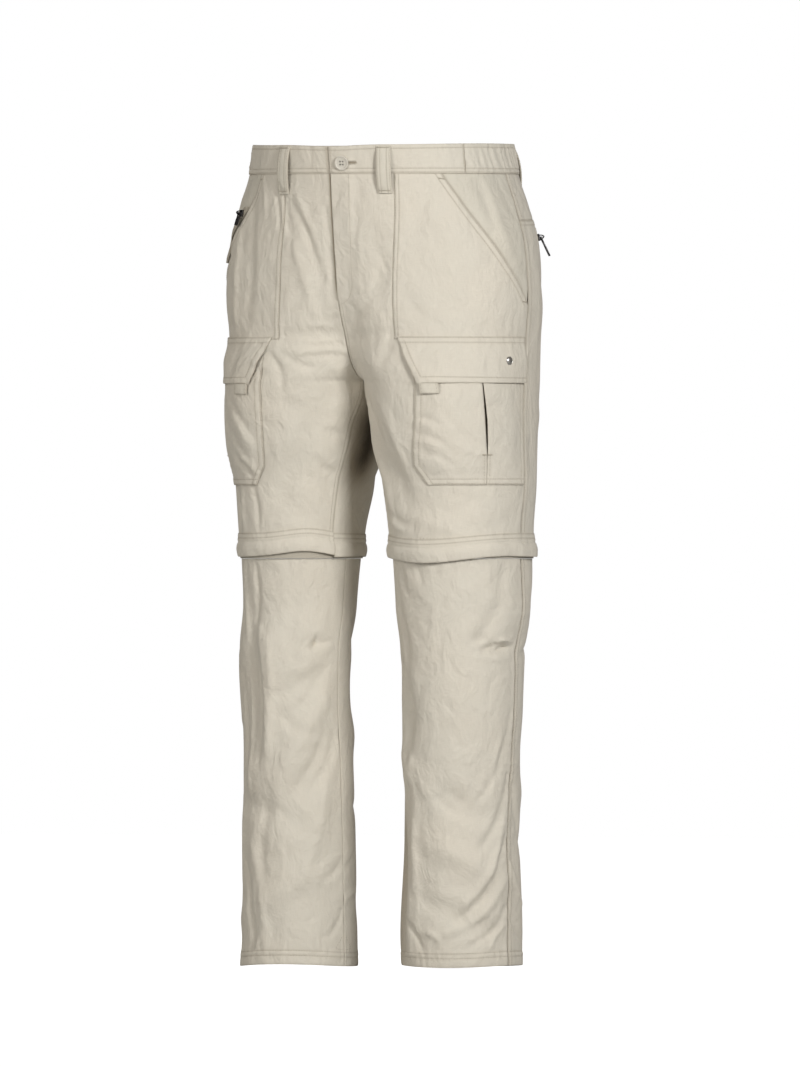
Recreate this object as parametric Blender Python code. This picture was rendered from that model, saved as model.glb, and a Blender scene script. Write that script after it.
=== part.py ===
"""Convertible zip-off trousers, worn out on a general figure, as hollow cloth pieces.

Metres, +Z up. The origin is the middle of the waist opening, half way up the waistband.
The front faces -Y and the wearer's left is +X. Sizes in the tables are millimetres.

A place on one half of the garment is given by two numbers:
  way    0 at centre front (the inseam on a leg), 1 at the side seam, 2 at centre back
         (the inseam again on a leg)
  level  height above the waist line, in mm, negative downwards
"""

import math

import bmesh
import bpy
import numpy as np
from mathutils import Matrix

MM = 0.001
LEFT, RIGHT = 1, -1
SIDE_NAMES = {LEFT: "left", RIGHT: "right"}

# Cloth and seams
WALL = 1.5
SEAM_GAP = 0.3
HALF_GAP = SEAM_GAP / 2
WAY_LENGTH = 250.0
WAY_GAP = HALF_GAP / WAY_LENGTH
LAY_GAP = 0.45

# Levels of the seams and edges
BAND_TOP, BAND_BOTTOM = 19.0, -17.0
FLY_BOTTOM = -180.0
SLANT_BOTTOM = -182.0
FLAP_SEAM, FLAP_TOP, FLAP_BOTTOM = -224.0, -221.0, -279.0
TAB_BOTTOM = -292.0
POCKET_TOP, POCKET_CHAMFER, POCKET_BOTTOM = -262.0, -382.0, -406.0
CROTCH_TOP, CROTCH = -165.0, -275.0
KNEE_TOP, KNEE_ZIP_BOTTOM = -472.0, -498.0
KNEE_BAND_TOP = -466.0
HEM = -1008.0
HEM_TURN = 17.0

# Where seams stand round the garment
ELASTIC_WAYS = (0.745, 1.28)
# The slanted hand pocket mouths: way at the waistband, and how much the line bows
SLANTS = {LEFT: (0.625, 1.0), RIGHT: (0.54, 1.25)}
YOKE_SIDE, YOKE_BACK = -75.0, -62.0

FLY_WIDTH_WAY = 0.13
FLY_RISE = 1.4
DIP_WIDTH = 42.0
END_REACH = 0.15
SIDE_BLEND = (-140.0, 200.0)
BAND_RISE, BAND_THICK = 1.0, 2.4
ELASTIC_WAVES, ELASTIC_DEPTH = 13, 0.9
UNDERLAP_DROP = 1.6
BUTTON_RADIUS, BUTTON_HEIGHT = 9.2, 3.0
LOOP_WIDTH, LOOP_THICK = 17.0, 1.6
TAPE_THICK = 1.2
SLIDER_CLEAR = 0.6


def table(names, *rows):
    """A table as named columns, lowest level first."""
    return dict(zip(names.split(), np.array(sorted(rows), dtype=float).T))


# Sections of the waist and hips, each about the garment's middle
TORSO = table(
    "level half_width front back squareness dip",
    (20, 169, 139, 132, 2.10, 0),
    (-18, 176, 133, 132, 2.15, 0),
    (-55, 189, 131, 135, 2.20, 1),
    (-106, 203, 128, 139, 2.30, 4),
    (-145, 207, 127, 138, 2.35, 8),
    (-181, 209, 127, 138, 2.35, 13),
    (-221, 207, 126, 135, 2.35, 20),
    (-275, 206, 126, 132, 2.35, 22),
    (-340, 202, 124, 124, 2.35, 22),
)

# Sections of each leg, about its own middle
LEG_COLUMNS = "level centre_x centre_y outer inner front back squareness inseam side"
UPPER_LEG = {
    LEFT: table(
        LEG_COLUMNS,
        (-275, 103, 0, 98, 101, 121, 112, 2.30, -64, 90),
        (-350, 108, -1, 94, 100, 112, 104, 2.20, -62, 90),
        (-406, 113, -4, 92, 95, 98, 99, 2.10, -60, 90),
        (-462, 115, -6, 88, 88, 94, 94, 2.10, -60, 88),
        (-500, 117, -6, 86, 87, 92, 92, 2.10, -60, 88),
    ),
    RIGHT: table(
        LEG_COLUMNS,
        (-275, 103, 0, 96, 101, 119, 112, 2.30, -64, 90),
        (-350, 108, -1, 91, 92, 107, 104, 2.20, -62, 90),
        (-406, 113, -4, 83, 82, 91, 102, 2.10, -60, 90),
        (-462, 115, -6, 77, 75, 84, 88, 2.10, -60, 90),
        (-500, 116, -6, 74, 73, 80, 82, 2.10, -60, 90),
    ),
}
LOWER_LEG = {
    LEFT: table(
        LEG_COLUMNS,
        (-490, 117, -6, 84, 85, 90, 90, 2.10, -81, 90),
        (-556, 119, -5, 84, 85, 87, 87, 2.05, -81, 90),
        (-612, 120, -11, 77, 77, 79, 80, 2.05, -81, 90),
        (-687, 120, -12, 75, 75, 77, 78, 2.00, -81, 90),
        (-744, 118, -11, 73, 73, 75, 75, 2.00, -81, 89),
        (-850, 118, -10, 72, 72, 74, 75, 2.00, -81, 82),
        (-969, 117, -9, 76, 76, 78, 78, 2.00, -81, 80),
        (-1010, 118, -9, 75, 75, 76, 77, 2.00, -81, 80),
    ),
    RIGHT: table(
        LEG_COLUMNS,
        (-490, 116, -6, 73, 72, 78, 80, 2.10, -81, 90),
        (-556, 119, -5, 70, 70, 73, 74, 2.05, -81, 90),
        (-612, 121, -12, 69, 69, 72, 73, 2.05, -81, 90),
        (-687, 120, -12, 67, 67, 69, 70, 2.00, -81, 90),
        (-744, 118, -11, 68, 68, 70, 71, 2.00, -81, 89),
        (-850, 117, -10, 70, 70, 72, 73, 2.00, -81, 84),
        (-969, 117, -9, 72, 72, 73, 74, 2.00, -81, 84),
        (-1010, 118, -9, 73, 73, 75, 75, 2.00, -81, 84),
    ),
}

# Princess seam, by level, on each side
PRINCESS = {
    LEFT: table("level way", (-10, 0.385), (-60, 0.39), (-130, 0.38), (-224, 0.37)),
    RIGHT: table("level way", (-10, 0.35), (-60, 0.34), (-130, 0.37), (-224, 0.38)),
}

# Large folds: each runs between two places, is this wide, and stands this proud
FOLD_COLUMNS = "start_way start_level end_way end_level width rise"
UPPER_FOLDS = {
    LEFT: (
        (0.05, -225, 0.45, -214, 9, -2.5),
        (0.10, -248, 0.40, -262, 12, 3.0),
        (0.12, -300, 0.30, -430, 16, -4.0),
        (1.75, -250, 1.35, -300, 20, -5.0),
        (1.70, -300, 1.30, -380, 18, -4.5),
    ),
    RIGHT: (
        (0.05, -218, 0.50, -222, 9, -2.5),
        (0.10, -236, 0.45, -240, 12, 3.0),
        (0.72, -50, 0.70, -190, 13, 3.5),
        (0.15, -300, 0.36, -440, 16, -4.0),
        (1.75, -250, 1.35, -300, 20, -5.0),
        (1.70, -310, 1.30, -390, 18, -4.5),
    ),
}
LOWER_FOLDS = {
    LEFT: (
        (0.18, -640, 0.34, -705, 15, -6.0),
        (0.20, -745, 0.42, -790, 15, 5.0),
        (0.72, -600, 0.98, -618, 9, -4.5),
        (0.55, -790, 0.80, -822, 14, -5.5),
        (0.45, -850, 1.00, -905, 16, 4.5),
        (0.40, -920, 0.95, -975, 14, -4.0),
        (1.20, -560, 1.70, -640, 22, -6.0),
        (1.80, -700, 1.25, -790, 20, 5.5),
        (1.25, -850, 1.75, -920, 18, -5.0),
    ),
    RIGHT: (
        (0.62, -575, 0.66, -730, 22, -7.0),
        (0.12, -676, 0.45, -780, 14, 5.0),
        (0.13, -640, 0.42, -672, 12, -4.5),
        (0.14, -602, 0.24, -606, 8, -4.5),
        (0.30, -830, 0.75, -800, 16, -4.5),
        (0.25, -900, 0.80, -950, 16, 4.0),
        (1.20, -570, 1.70, -650, 22, -6.0),
        (1.80, -710, 1.25, -780, 20, 5.5),
        (1.25, -860, 1.75, -930, 18, -5.0),
    ),
}


def curve_through(xs, ys, at):
    """Smooth curve through the points, with no overshoot between them."""
    step = np.diff(xs)
    slope = np.diff(ys) / step
    tangent = np.zeros(len(xs))
    tangent[0], tangent[-1] = slope[0], slope[-1]
    for i in range(1, len(xs) - 1):
        if slope[i - 1] * slope[i] > 0:
            tangent[i] = 2 * slope[i - 1] * slope[i] / (slope[i - 1] + slope[i])
    at = np.clip(at, xs[0], xs[-1])
    k = np.clip(np.searchsorted(xs, at, side="right") - 1, 0, len(step) - 1)
    h = step[k]
    t = (at - xs[k]) / h
    return (
        ys[k] * (1 + 2 * t) * (1 - t) ** 2
        + h * tangent[k] * t * (1 - t) ** 2
        + ys[k + 1] * t * t * (3 - 2 * t)
        + h * tangent[k + 1] * t * t * (t - 1)
    )


def column(rows, name, level):
    """One column of a table, read at any level."""
    return curve_through(rows["level"], rows[name], level)


def ramp(value, start, end):
    """0 before start and 1 after end, with a smooth rise between."""
    t = np.clip((value - start) / (end - start), 0, 1)
    return t * t * (3 - 2 * t)


def reach(across, along, half_width, depth, squareness):
    """Distance from the middle to a rounded section, in a unit direction."""
    total = np.abs(across / half_width) ** squareness + np.abs(along / depth) ** squareness
    return total ** (-1 / squareness)


def torso_point(way, level):
    """x and y on the hip section: way 0 is centre front, 1 the side, 2 centre back."""
    turn = np.radians(90 * way)
    across, along = np.sin(turn), np.cos(turn)
    depth = np.where(along > 0, column(TORSO, "front", level), column(TORSO, "back", level))
    far = reach(across, along, column(TORSO, "half_width", level), depth,
                column(TORSO, "squareness", level))
    x, y = far * across, -far * along
    dip = column(TORSO, "dip", level) * np.exp(-((x / DIP_WIDTH) ** 2))
    return x, y + np.where(along > 0, dip, -0.5 * dip)


def leg_point(rows, way, level):
    """x and y on one leg's section, as if the leg were the left one."""
    inseam, side = column(rows, "inseam", level), column(rows, "side", level)
    fore = inseam + (side - inseam) * way
    aft = side + (inseam + 360 - side) * (way - 1)
    turn = np.radians(np.where(way < 1, fore, aft))
    across, along = np.sin(turn), np.cos(turn)
    width = np.where(across > 0, column(rows, "outer", level), column(rows, "inner", level))
    depth = np.where(along > 0, column(rows, "front", level), column(rows, "back", level))
    far = reach(across, along, width, depth, column(rows, "squareness", level))
    return (column(rows, "centre_x", level) + far * across,
            column(rows, "centre_y", level) - far * along)


def fold_rise(folds, way, level):
    """How far the folds move the cloth outwards at a place."""
    rise = np.zeros(np.broadcast(way, level).shape)
    for row in folds:
        fold = dict(zip(FOLD_COLUMNS.split(), row))
        dx = (fold["end_way"] - fold["start_way"]) * WAY_LENGTH
        dz = fold["end_level"] - fold["start_level"]
        px = (way - fold["start_way"]) * WAY_LENGTH
        pz = level - fold["start_level"]
        length = math.hypot(dx, dz)
        along = (px * dx + pz * dz) / length**2
        off = (px * dz - pz * dx) / length
        past = np.maximum(np.maximum(-along, along - 1), 0) * length
        near = np.exp(-(off**2 + past**2) / fold["width"] ** 2)
        rise = rise + fold["rise"] * near * (0.55 + 0.45 * np.sin(math.pi * np.clip(along, 0, 1)))
    return rise


def plain_upper(side, way, level):
    """The trousers above the knee with no folds: hips that part into two legs."""
    down = np.clip((CROTCH_TOP - level) / (CROTCH_TOP - CROTCH), 0, 1)
    at_middle = 1 - np.sqrt(1 - down**2)
    at_side = ramp(-level, -SIDE_BLEND[0], -SIDE_BLEND[0] + SIDE_BLEND[1])
    from_end = np.minimum(way, 2 - way)
    middle = np.exp(-((from_end / 0.35) ** 2))
    share = middle * at_middle + (1 - middle) * at_side
    torso_x, torso_y = torso_point(way, level)
    rows = UPPER_LEG[side]
    leg_x, leg_y = leg_point(rows, way, level)
    end_x, end_y = leg_point(rows, np.zeros_like(way), level)
    held = at_middle * ramp(level, CROTCH - 60, CROTCH)
    pull = held * end_x * np.exp(-((from_end / END_REACH) ** 2))
    x = (1 - share) * torso_x + share * leg_x - pull
    y = (1 - share) * torso_y + share * leg_y
    return np.stack([x, y, np.broadcast_to(level, x.shape)], axis=-1)


def plain_lower(side, way, level):
    """The zip-off leg with no folds."""
    x, y = leg_point(LOWER_LEG[side], way, level)
    return np.stack([x, y, np.broadcast_to(level, x.shape)], axis=-1)


def normals(surface, way, level):
    """Outward unit directions of a surface given by way and level."""
    dw, dz = 0.01, 2.0
    across = surface(way + dw, level) - surface(way - dw, level)
    down = surface(way, level - dz) - surface(way, level + dz)
    out = np.cross(down, across)
    return out / np.linalg.norm(out, axis=-1, keepdims=True)


class Half:
    """One half of the garment, above or below the knee."""

    def __init__(self, side, plain, folds):
        self.side, self.plain, self.folds = side, plain, folds

    def base(self, way, level):
        return self.plain(self.side, way, level)

    def form(self, way, level):
        """Points of the cloth's outer face, folds and all, in left-hand millimetres."""
        raised = fold_rise(self.folds, way, level)[..., None]
        return self.base(way, level) + raised * normals(self.base, way, level)

    def points(self, way, level, off):
        """Points this far off the cloth's face, in the garment's own millimetres."""
        way, level, off = np.broadcast_arrays(*(np.asarray(v, dtype=float) for v in (way, level, off)))
        spot = self.form(way, level) + off[..., None] * normals(self.form, way, level)
        if self.plain is plain_upper:
            inside = (way >= 0) & (way <= 2)
            spot[..., 0] = np.where(inside, np.maximum(spot[..., 0], HALF_GAP), spot[..., 0])
        spot[..., 0] *= self.side
        return spot


UPPER = {side: Half(side, plain_upper, UPPER_FOLDS[side]) for side in (LEFT, RIGHT)}
LOWER = {side: Half(side, plain_lower, LOWER_FOLDS[side]) for side in (LEFT, RIGHT)}

MATERIALS = {
    "cloth": ((0.62, 0.56, 0.45, 1.0), 0.85, 0.0),
    "trim": ((0.60, 0.54, 0.43, 1.0), 0.8, 0.0),
    "zip": ((0.30, 0.27, 0.22, 1.0), 0.7, 0.0),
    "metal": ((0.08, 0.08, 0.09, 1.0), 0.35, 0.8),
    "stud": ((0.55, 0.55, 0.56, 1.0), 0.3, 1.0),
    "button": ((0.50, 0.48, 0.43, 1.0), 0.45, 0.0),
}


def clear_scene():
    for obj in list(bpy.data.objects):
        bpy.data.objects.remove(obj, do_unlink=True)


def material(name):
    found = bpy.data.materials.get(name)
    if found:
        return found
    colour, roughness, metallic = MATERIALS[name]
    made = bpy.data.materials.new(name)
    made.use_nodes = True
    shader = made.node_tree.nodes["Principled BSDF"]
    shader.inputs["Base Color"].default_value = colour
    shader.inputs["Roughness"].default_value = roughness
    shader.inputs["Metallic"].default_value = metallic
    return made


def add_object(name, mesh, finish):
    obj = bpy.data.objects.new(name, mesh)
    bpy.context.scene.collection.objects.link(obj)
    obj.data.materials.append(material(finish))
    return obj


def wall(name, outer, inner, finish="cloth", cells=None):
    """A closed wall between two grids of points, in mm, over the chosen cells."""
    rows, columns = outer.shape[:2]
    if cells is None:
        cells = np.ones((rows - 1, columns - 1), dtype=bool)
    shell = bmesh.new()
    made = {}

    def corner(layer, i, j):
        if (layer, i, j) not in made:
            made[layer, i, j] = shell.verts.new((outer, inner)[layer][i, j] * MM)
        return made[layer, i, j]

    def used(i, j):
        return 0 <= i < rows - 1 and 0 <= j < columns - 1 and cells[i, j]

    for i, j in zip(*np.nonzero(cells)):
        around = ((i, j), (i + 1, j), (i + 1, j + 1), (i, j + 1))
        shell.faces.new([corner(0, *spot) for spot in around])
        shell.faces.new([corner(1, *spot) for spot in reversed(around)])
        beyond = ((i, j - 1), (i + 1, j), (i, j + 1), (i - 1, j))
        for k in range(4):
            if not used(*beyond[k]):
                a, b = around[k], around[(k + 1) % 4]
                shell.faces.new([corner(0, *b), corner(0, *a), corner(1, *a), corner(1, *b)])
    bmesh.ops.triangulate(shell, faces=shell.faces[:])
    bmesh.ops.recalc_face_normals(shell, faces=shell.faces[:])
    mesh = bpy.data.meshes.new(name)
    shell.to_mesh(mesh)
    shell.free()
    mesh.shade_smooth()
    mesh.set_sharp_from_angle(angle=math.radians(50))
    return add_object(name, mesh, finish)


def cloth(name, half, way, level, outer=0.0, thick=WALL, finish="cloth", cells=None):
    """A cloth wall on one half: outer is how far its face stands off the garment's form."""
    way, level = np.broadcast_arrays(way, level)
    outer = np.broadcast_to(outer, way.shape)
    thick = np.broadcast_to(thick, way.shape)
    return wall(name, half.points(way, level, outer), half.points(way, level, outer - thick),
                finish, cells)


def spaced(start, end, cells):
    return np.linspace(start, end, cells + 1)


def yoke_level(way):
    """Level of the yoke seam from the side seam to centre back."""
    return YOKE_SIDE + (YOKE_BACK - YOKE_SIDE) * ramp(way, 1.0, 2.0)


def slant_way(side, level):
    """Where the slanted hand pocket mouth stands at a level."""
    start, bow = SLANTS[side]
    down = np.clip((BAND_BOTTOM - level) / (BAND_BOTTOM - SLANT_BOTTOM), 0, 1)
    return start + (1 - start) * down**bow


def fly_rise(way, level):
    """The folded fly stands proud on the left front, out to its stitching."""
    across = 1 - ramp(way, FLY_WIDTH_WAY, FLY_WIDTH_WAY + 0.03)
    return FLY_RISE * across * ramp(level, FLY_BOTTOM - 4, FLY_BOTTOM + 8)


HIP_LEVELS = np.array([BAND_BOTTOM - SEAM_GAP, -44, -74, -106, -140, -172, -198, FLAP_SEAM + HALF_GAP])
# Shares across the panels: inner ones from the middle to the princess seam, outer ones on to the side
INNER_SHARES = np.array([0, 0.2, 0.37, 0.5, 0.75, 1.0])
OUTER_SHARES = np.array([0, 0.12, 0.26, 0.41, 0.57, 0.68, 0.79, 0.9, 1.0])
# The line of the outer shares that the cargo pocket's pleat stands on
PLEAT = 4
BACK_SHARES = np.array([0, 0.08, 0.17, 0.27, 0.38, 0.49, 0.6, 0.7, 0.79, 0.87, 0.94, 1.0])
THIGH_LEVELS = np.array([FLAP_SEAM - HALF_GAP, -238, -250, -260, -268, -275, -283, -298, -322, -350,
                         -378, -406, -436, -455, KNEE_TOP])


def front_ways(side, levels):
    """Ways of the front's lines, from the middle to the side seam."""
    seam = column(PRINCESS[side], "way", levels) - WAY_GAP
    inner = WAY_GAP + (seam - WAY_GAP) * INNER_SHARES
    outer = seam + (1 - WAY_GAP - seam) * OUTER_SHARES[1:]
    return np.concatenate([inner, outer], axis=1)


def back_ways():
    """Ways of the back's lines, from the side seam to the middle."""
    return 1 + WAY_GAP + (1 - 2 * WAY_GAP) * BACK_SHARES


def build_front(side):
    """The front: narrow above the flap seam, the whole front of the leg below it."""
    levels = np.concatenate([HIP_LEVELS[:-1], THIGH_LEVELS])[:, None]
    way = front_ways(side, levels)
    cells = np.ones((len(levels) - 1, way.shape[1] - 1), dtype=bool)
    cells[: len(HIP_LEVELS) - 1, len(INNER_SHARES) - 1 :] = False
    rise = fly_rise(way, levels) if side == LEFT else 0.0 * way
    cloth(f"{SIDE_NAMES[side]}_front", UPPER[side], way, levels, rise, WALL + rise, cells=cells)


def build_front_side(side):
    levels = HIP_LEVELS[:, None]
    start = column(PRINCESS[side], "way", levels) + WAY_GAP
    end = slant_way(side, levels) - WAY_GAP
    cloth(f"{SIDE_NAMES[side]}_front_side", UPPER[side], start + (end - start) * OUTER_SHARES, levels)


def build_hip_facing(side):
    levels = np.array([HIP_LEVELS[0], -44, -74, -106, -140, -165])[:, None]
    start = slant_way(side, levels) + WAY_GAP
    end = 1 - WAY_GAP
    share = np.array([0, 0.12, 0.5, 1.0])
    sunk = -(WALL * 0.8) * (1 - ramp(share, 0.0, 0.5))
    cloth(f"{SIDE_NAMES[side]}_hip_facing", UPPER[side], start + (end - start) * share, levels, sunk)


def build_back(side):
    levels = np.concatenate([[-76.0, -90, -106, -140, -172, -198, -218], THIGH_LEVELS[1:]])
    way = back_ways()
    follow = np.clip(1 - np.arange(len(levels)) / 3, 0, 1)[:, None]
    level = levels[:, None] + (yoke_level(way) - HALF_GAP - levels[0]) * follow
    cloth(f"{SIDE_NAMES[side]}_back", UPPER[side], way, level)
    top = BAND_BOTTOM - SEAM_GAP
    yoke = top + (yoke_level(way) + HALF_GAP - top) * spaced(0, 1, 2)[:, None]
    cloth(f"{SIDE_NAMES[side]}_back_yoke", UPPER[side], way, yoke)


def build_lower_leg(side):
    """Front and back of the zip-off leg, with a turned hem."""
    levels = np.concatenate([spaced(KNEE_ZIP_BOTTOM - SEAM_GAP, HEM + HEM_TURN, 17),
                             [HEM + HEM_TURN - 1.0, HEM]])[:, None]
    turned = np.where(levels < HEM + HEM_TURN - 0.5, 0.6, 0.0)
    for name, start, cells in (("front", 0, 10), ("back", 1, 12)):
        way = spaced(start + WAY_GAP, start + 1 - WAY_GAP, cells)
        wavy = np.where(levels <= HEM + 0.5, 1.5 * np.sin(way * 2 * math.pi + side), 0.0)
        cloth(f"{SIDE_NAMES[side]}_lower_{name}", LOWER[side], way, levels + wavy, turned)


# How far the knee band's lower edge stands off: least, more in waves, and waves to a way
KNEE_LIFT = (1.0, 1.2, 1.5)


def knee_band_rise(side, way, level):
    """The knee band lies close at its seam and lifts off towards its lower edge."""
    down = (KNEE_BAND_TOP - level) / (KNEE_BAND_TOP - KNEE_ZIP_BOTTOM)
    least, more, waves = KNEE_LIFT
    lift = least + more * np.sin(way * 2 * math.pi * waves + side) ** 2
    return LAY_GAP + WALL + lift * np.clip(down, 0, 1)


def build_knee(side):
    """The zip ring that the leg comes off at, and the band that covers it."""
    way = np.concatenate([front_ways(side, np.array([[KNEE_TOP]]))[0], back_ways()[1:]])
    zip_levels = np.array([KNEE_TOP - SEAM_GAP, (KNEE_TOP + KNEE_ZIP_BOTTOM) / 2, KNEE_ZIP_BOTTOM])[:, None]
    cloth(f"{SIDE_NAMES[side]}_knee_zip", UPPER[side], way, zip_levels, 0.0, finish="zip")
    levels = np.array([0.0, 0.3, 0.65, 1.0])[:, None]
    bottom = -497.0 - (4.0 if side == LEFT else 0.0) * np.sin(way * math.pi / 2)
    level = KNEE_BAND_TOP + (bottom - KNEE_BAND_TOP) * levels
    cloth(f"{SIDE_NAMES[side]}_knee_band", UPPER[side], way, level, knee_band_rise(side, way, level))


def flap_front_way(side, level):
    """The flap's slanted front edge."""
    top, bottom = FLAP_FRONTS[side]
    return top + (bottom - top) * np.clip((FLAP_TOP - level) / (FLAP_TOP - FLAP_BOTTOM), 0, 1)


def pocket_front_way(side, level):
    """The cargo pocket's front edge, cut off at its lower corner."""
    return np.interp(-level, POCKET_FRONT_DEPTHS, POCKET_FRONTS[side])


# Ways of the flap's front edge at its top and bottom, and of the pocket's front edge at some depths
FLAP_FRONTS = {LEFT: (0.395, 0.473), RIGHT: (0.415, 0.494)}
POCKET_FRONT_DEPTHS = (262.0, 283.0, 331.0, 382.0, 406.0)
POCKET_FRONTS = {LEFT: (0.456, 0.454, 0.425, 0.380, 0.434), RIGHT: (0.446, 0.444, 0.425, 0.414, 0.466)}
# The pocket's back edge, and how far the flap stands off to clear its swell
POCKET_BACK = 0.985
POCKET_SWELL = 3.2
FLAP_LIFT = POCKET_SWELL + LAY_GAP + WALL + 0.4


def pocket_rise(share_across, share_down):
    """The pocket swells between its stitched edges."""
    return POCKET_SWELL * np.sin(math.pi * np.clip(share_across, 0, 1)) ** 0.5 * np.sin(
        math.pi * np.clip(0.25 + 0.75 * share_down, 0, 1)) ** 0.5


def build_cargo(side):
    """Cargo pocket in two halves either side of its centre pleat, with its flap and tab."""
    name = SIDE_NAMES[side]
    half = UPPER[side]
    lines = front_ways(side, np.array([[POCKET_TOP]]))[0][len(INNER_SHARES) - 1 :]
    levels = np.array([POCKET_TOP, -283, -310, -345, POCKET_CHAMFER, POCKET_BOTTOM])[:, None]
    slit = np.interp(-levels, [250, 280, 330, 366, 372, 406], [1.0, 1.3, 1.6, 1.0, HALF_GAP, HALF_GAP])
    fore = lines[: PLEAT + 1] + 0 * levels
    front = pocket_front_way(side, levels)
    fore[:, :1] = front
    fore[:, 1] = np.maximum(fore[:, 1], fore[:, 0] + 0.012)
    fore[:, -1:] = lines[PLEAT] - slit / WAY_LENGTH
    aft = lines[PLEAT:] + 0 * levels
    aft[:, :1] = lines[PLEAT] + slit / WAY_LENGTH
    aft[:, -1] = POCKET_BACK
    for piece, way in (("fore", fore), ("aft", aft)):
        swell = pocket_rise((way - front) / (POCKET_BACK - front),
                            (POCKET_TOP - levels) / (POCKET_TOP - POCKET_BOTTOM))
        cloth(f"{name}_cargo_{piece}", half, way, levels, LAY_GAP + WALL + swell)
    flap_levels = np.array([FLAP_TOP, -227, -242, -262, FLAP_BOTTOM])[:, None]
    flap = lines + 0 * flap_levels
    flap[:, :1] = flap_front_way(side, flap_levels)
    flap[:, 1] = np.maximum(flap[:, 1], flap[:, 0] + 0.02)
    flap[:, -1] = POCKET_BACK
    over = LAY_GAP + WALL + ramp(-flap_levels, 224, 255) * FLAP_LIFT
    cloth(f"{name}_cargo_flap", half, flap, flap_levels, over)
    tab_start = float(flap[-1, 0]) + 0.005
    tab_levels = spaced(FLAP_BOTTOM - SEAM_GAP, TAB_BOTTOM, 2)[:, None]
    cloth(f"{name}_cargo_tab", half, spaced(tab_start, tab_start + 0.075, 2), tab_levels,
          FLAP_LIFT + LAY_GAP + WALL, finish="trim")


def flat(way):
    """No rise: the band's plain stretches."""
    return 0.0 * way


def band_piece(name, stretches, rise=flat, waves=0):
    """A stretch of waistband. Each stretch is a half and its ways, in order round the waist."""
    levels = np.array([BAND_BOTTOM, -6.0, 8.0, BAND_TOP])
    outer, inner = [], []
    for side, way in stretches:
        level = levels[:, None] + 0 * way
        off = BAND_RISE + rise(way) + 0 * level
        if waves:
            across = np.sin(way * 2 * math.pi * waves)
            down = np.sin(np.linspace(0, math.pi, len(levels)))[:, None] ** 0.5
            off = off + ELASTIC_DEPTH * across * down
        outer.append(UPPER[side].points(way, level, off))
        inner.append(UPPER[side].points(way, level, off - BAND_THICK))
    return wall(name, np.concatenate(outer, axis=1), np.concatenate(inner, axis=1))


def build_waistband():
    ahead, behind = ELASTIC_WAYS
    left = np.concatenate([spaced(WAY_GAP, FLY_WIDTH_WAY, 3), spaced(0.16, ahead - WAY_GAP, 7)])
    band_piece("waistband_left", [(LEFT, left)], lambda way: FLY_RISE * (1 - ramp(way, FLY_WIDTH_WAY, 0.16)))
    under = np.array([-0.122, -0.08, -0.045, -0.005])
    right = np.concatenate([under, spaced(0.02, ahead - WAY_GAP, 9)])
    band_piece("waistband_right", [(RIGHT, right)], lambda way: -UNDERLAP_DROP * (1 - ramp(way, 0.0, 0.02)))
    for side in (LEFT, RIGHT):
        way = spaced(ahead + WAY_GAP, behind - WAY_GAP, 28)
        band_piece(f"waistband_elastic_{SIDE_NAMES[side]}", [(side, way)], waves=ELASTIC_WAVES)
    back = spaced(behind + WAY_GAP, 2.0, 7)
    band_piece("waistband_back", [(LEFT, back), (RIGHT, back[::-1][1:])])


def build_fly_shield():
    """The strip behind the fly opening, held to the right front."""
    way = spaced(-0.15, 0.09, 5)
    levels = spaced(BAND_BOTTOM - SEAM_GAP, FLY_BOTTOM + 4, 5)[:, None]
    cloth("fly_shield", UPPER[RIGHT], way, levels, -(WALL + LAY_GAP), 1.0)


def local_frame(half, way, level, off):
    """A spot off the cloth, with its outward, downward and sideways unit directions."""
    way, level = np.array(float(way)), np.array(float(level))
    spot = half.points(way, level, off)
    out = half.points(way, level, off + 1.0) - spot
    down = half.points(way, level - 2.0, off) - spot
    out /= np.linalg.norm(out)
    down -= out * np.dot(out, down)
    down /= np.linalg.norm(down)
    return spot, out, down, np.cross(down, out)


def prism(name, outline, low, high, finish, hole=None):
    """An outline in mm drawn up between two heights, with an optional hole."""
    shape = bmesh.new()
    loops = [outline] + ([hole] if hole is not None else [])
    rings = []
    for loop in loops:
        rings.append([[shape.verts.new((x * MM, y * MM, z * MM)) for x, y in loop] for z in (low, high)])
    for k, (bottom, top) in enumerate(rings):
        for i in range(len(bottom)):
            j = (i + 1) % len(bottom)
            shape.faces.new([bottom[i], bottom[j], top[j], top[i]])
    for level in (0, 1):
        edges = [shape.edges.get((ring[level][i], ring[level][(i + 1) % len(ring[level])]))
                 for ring in rings for i in range(len(ring[level]))]
        bmesh.ops.triangle_fill(shape, edges=edges, use_beauty=True)
    bmesh.ops.recalc_face_normals(shape, faces=shape.faces[:])
    mesh = bpy.data.meshes.new(name)
    shape.to_mesh(mesh)
    shape.free()
    return add_object(name, mesh, finish)


def rounded_box(width, length, corner, steps=3):
    """Outline of a rectangle with round corners, about its middle."""
    spots = []
    for quarter in range(4):
        sx = (1, -1, -1, 1)[quarter]
        sy = (1, 1, -1, -1)[quarter]
        for k in range(steps + 1):
            turn = math.radians(90 * quarter + 90 * k / steps)
            spots.append((sx * (width / 2 - corner) + corner * math.cos(turn),
                          sy * (length / 2 - corner) + corner * math.sin(turn)))
    return spots


def circle(radius, steps):
    return [(radius * math.cos(2 * math.pi * k / steps), radius * math.sin(2 * math.pi * k / steps))
            for k in range(steps)]


def boolean(obj, cutter, operation):
    """Joins or cuts with another object, which is then dropped."""
    change = obj.modifiers.new(operation.lower(), "BOOLEAN")
    change.object = cutter
    change.operation = operation
    change.solver = "EXACT"
    bpy.context.view_layer.update()
    graph = bpy.context.evaluated_depsgraph_get()
    mesh = bpy.data.meshes.new_from_object(obj.evaluated_get(graph))
    obj.modifiers.clear()
    obj.data = mesh
    bpy.data.objects.remove(cutter, do_unlink=True)


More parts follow.
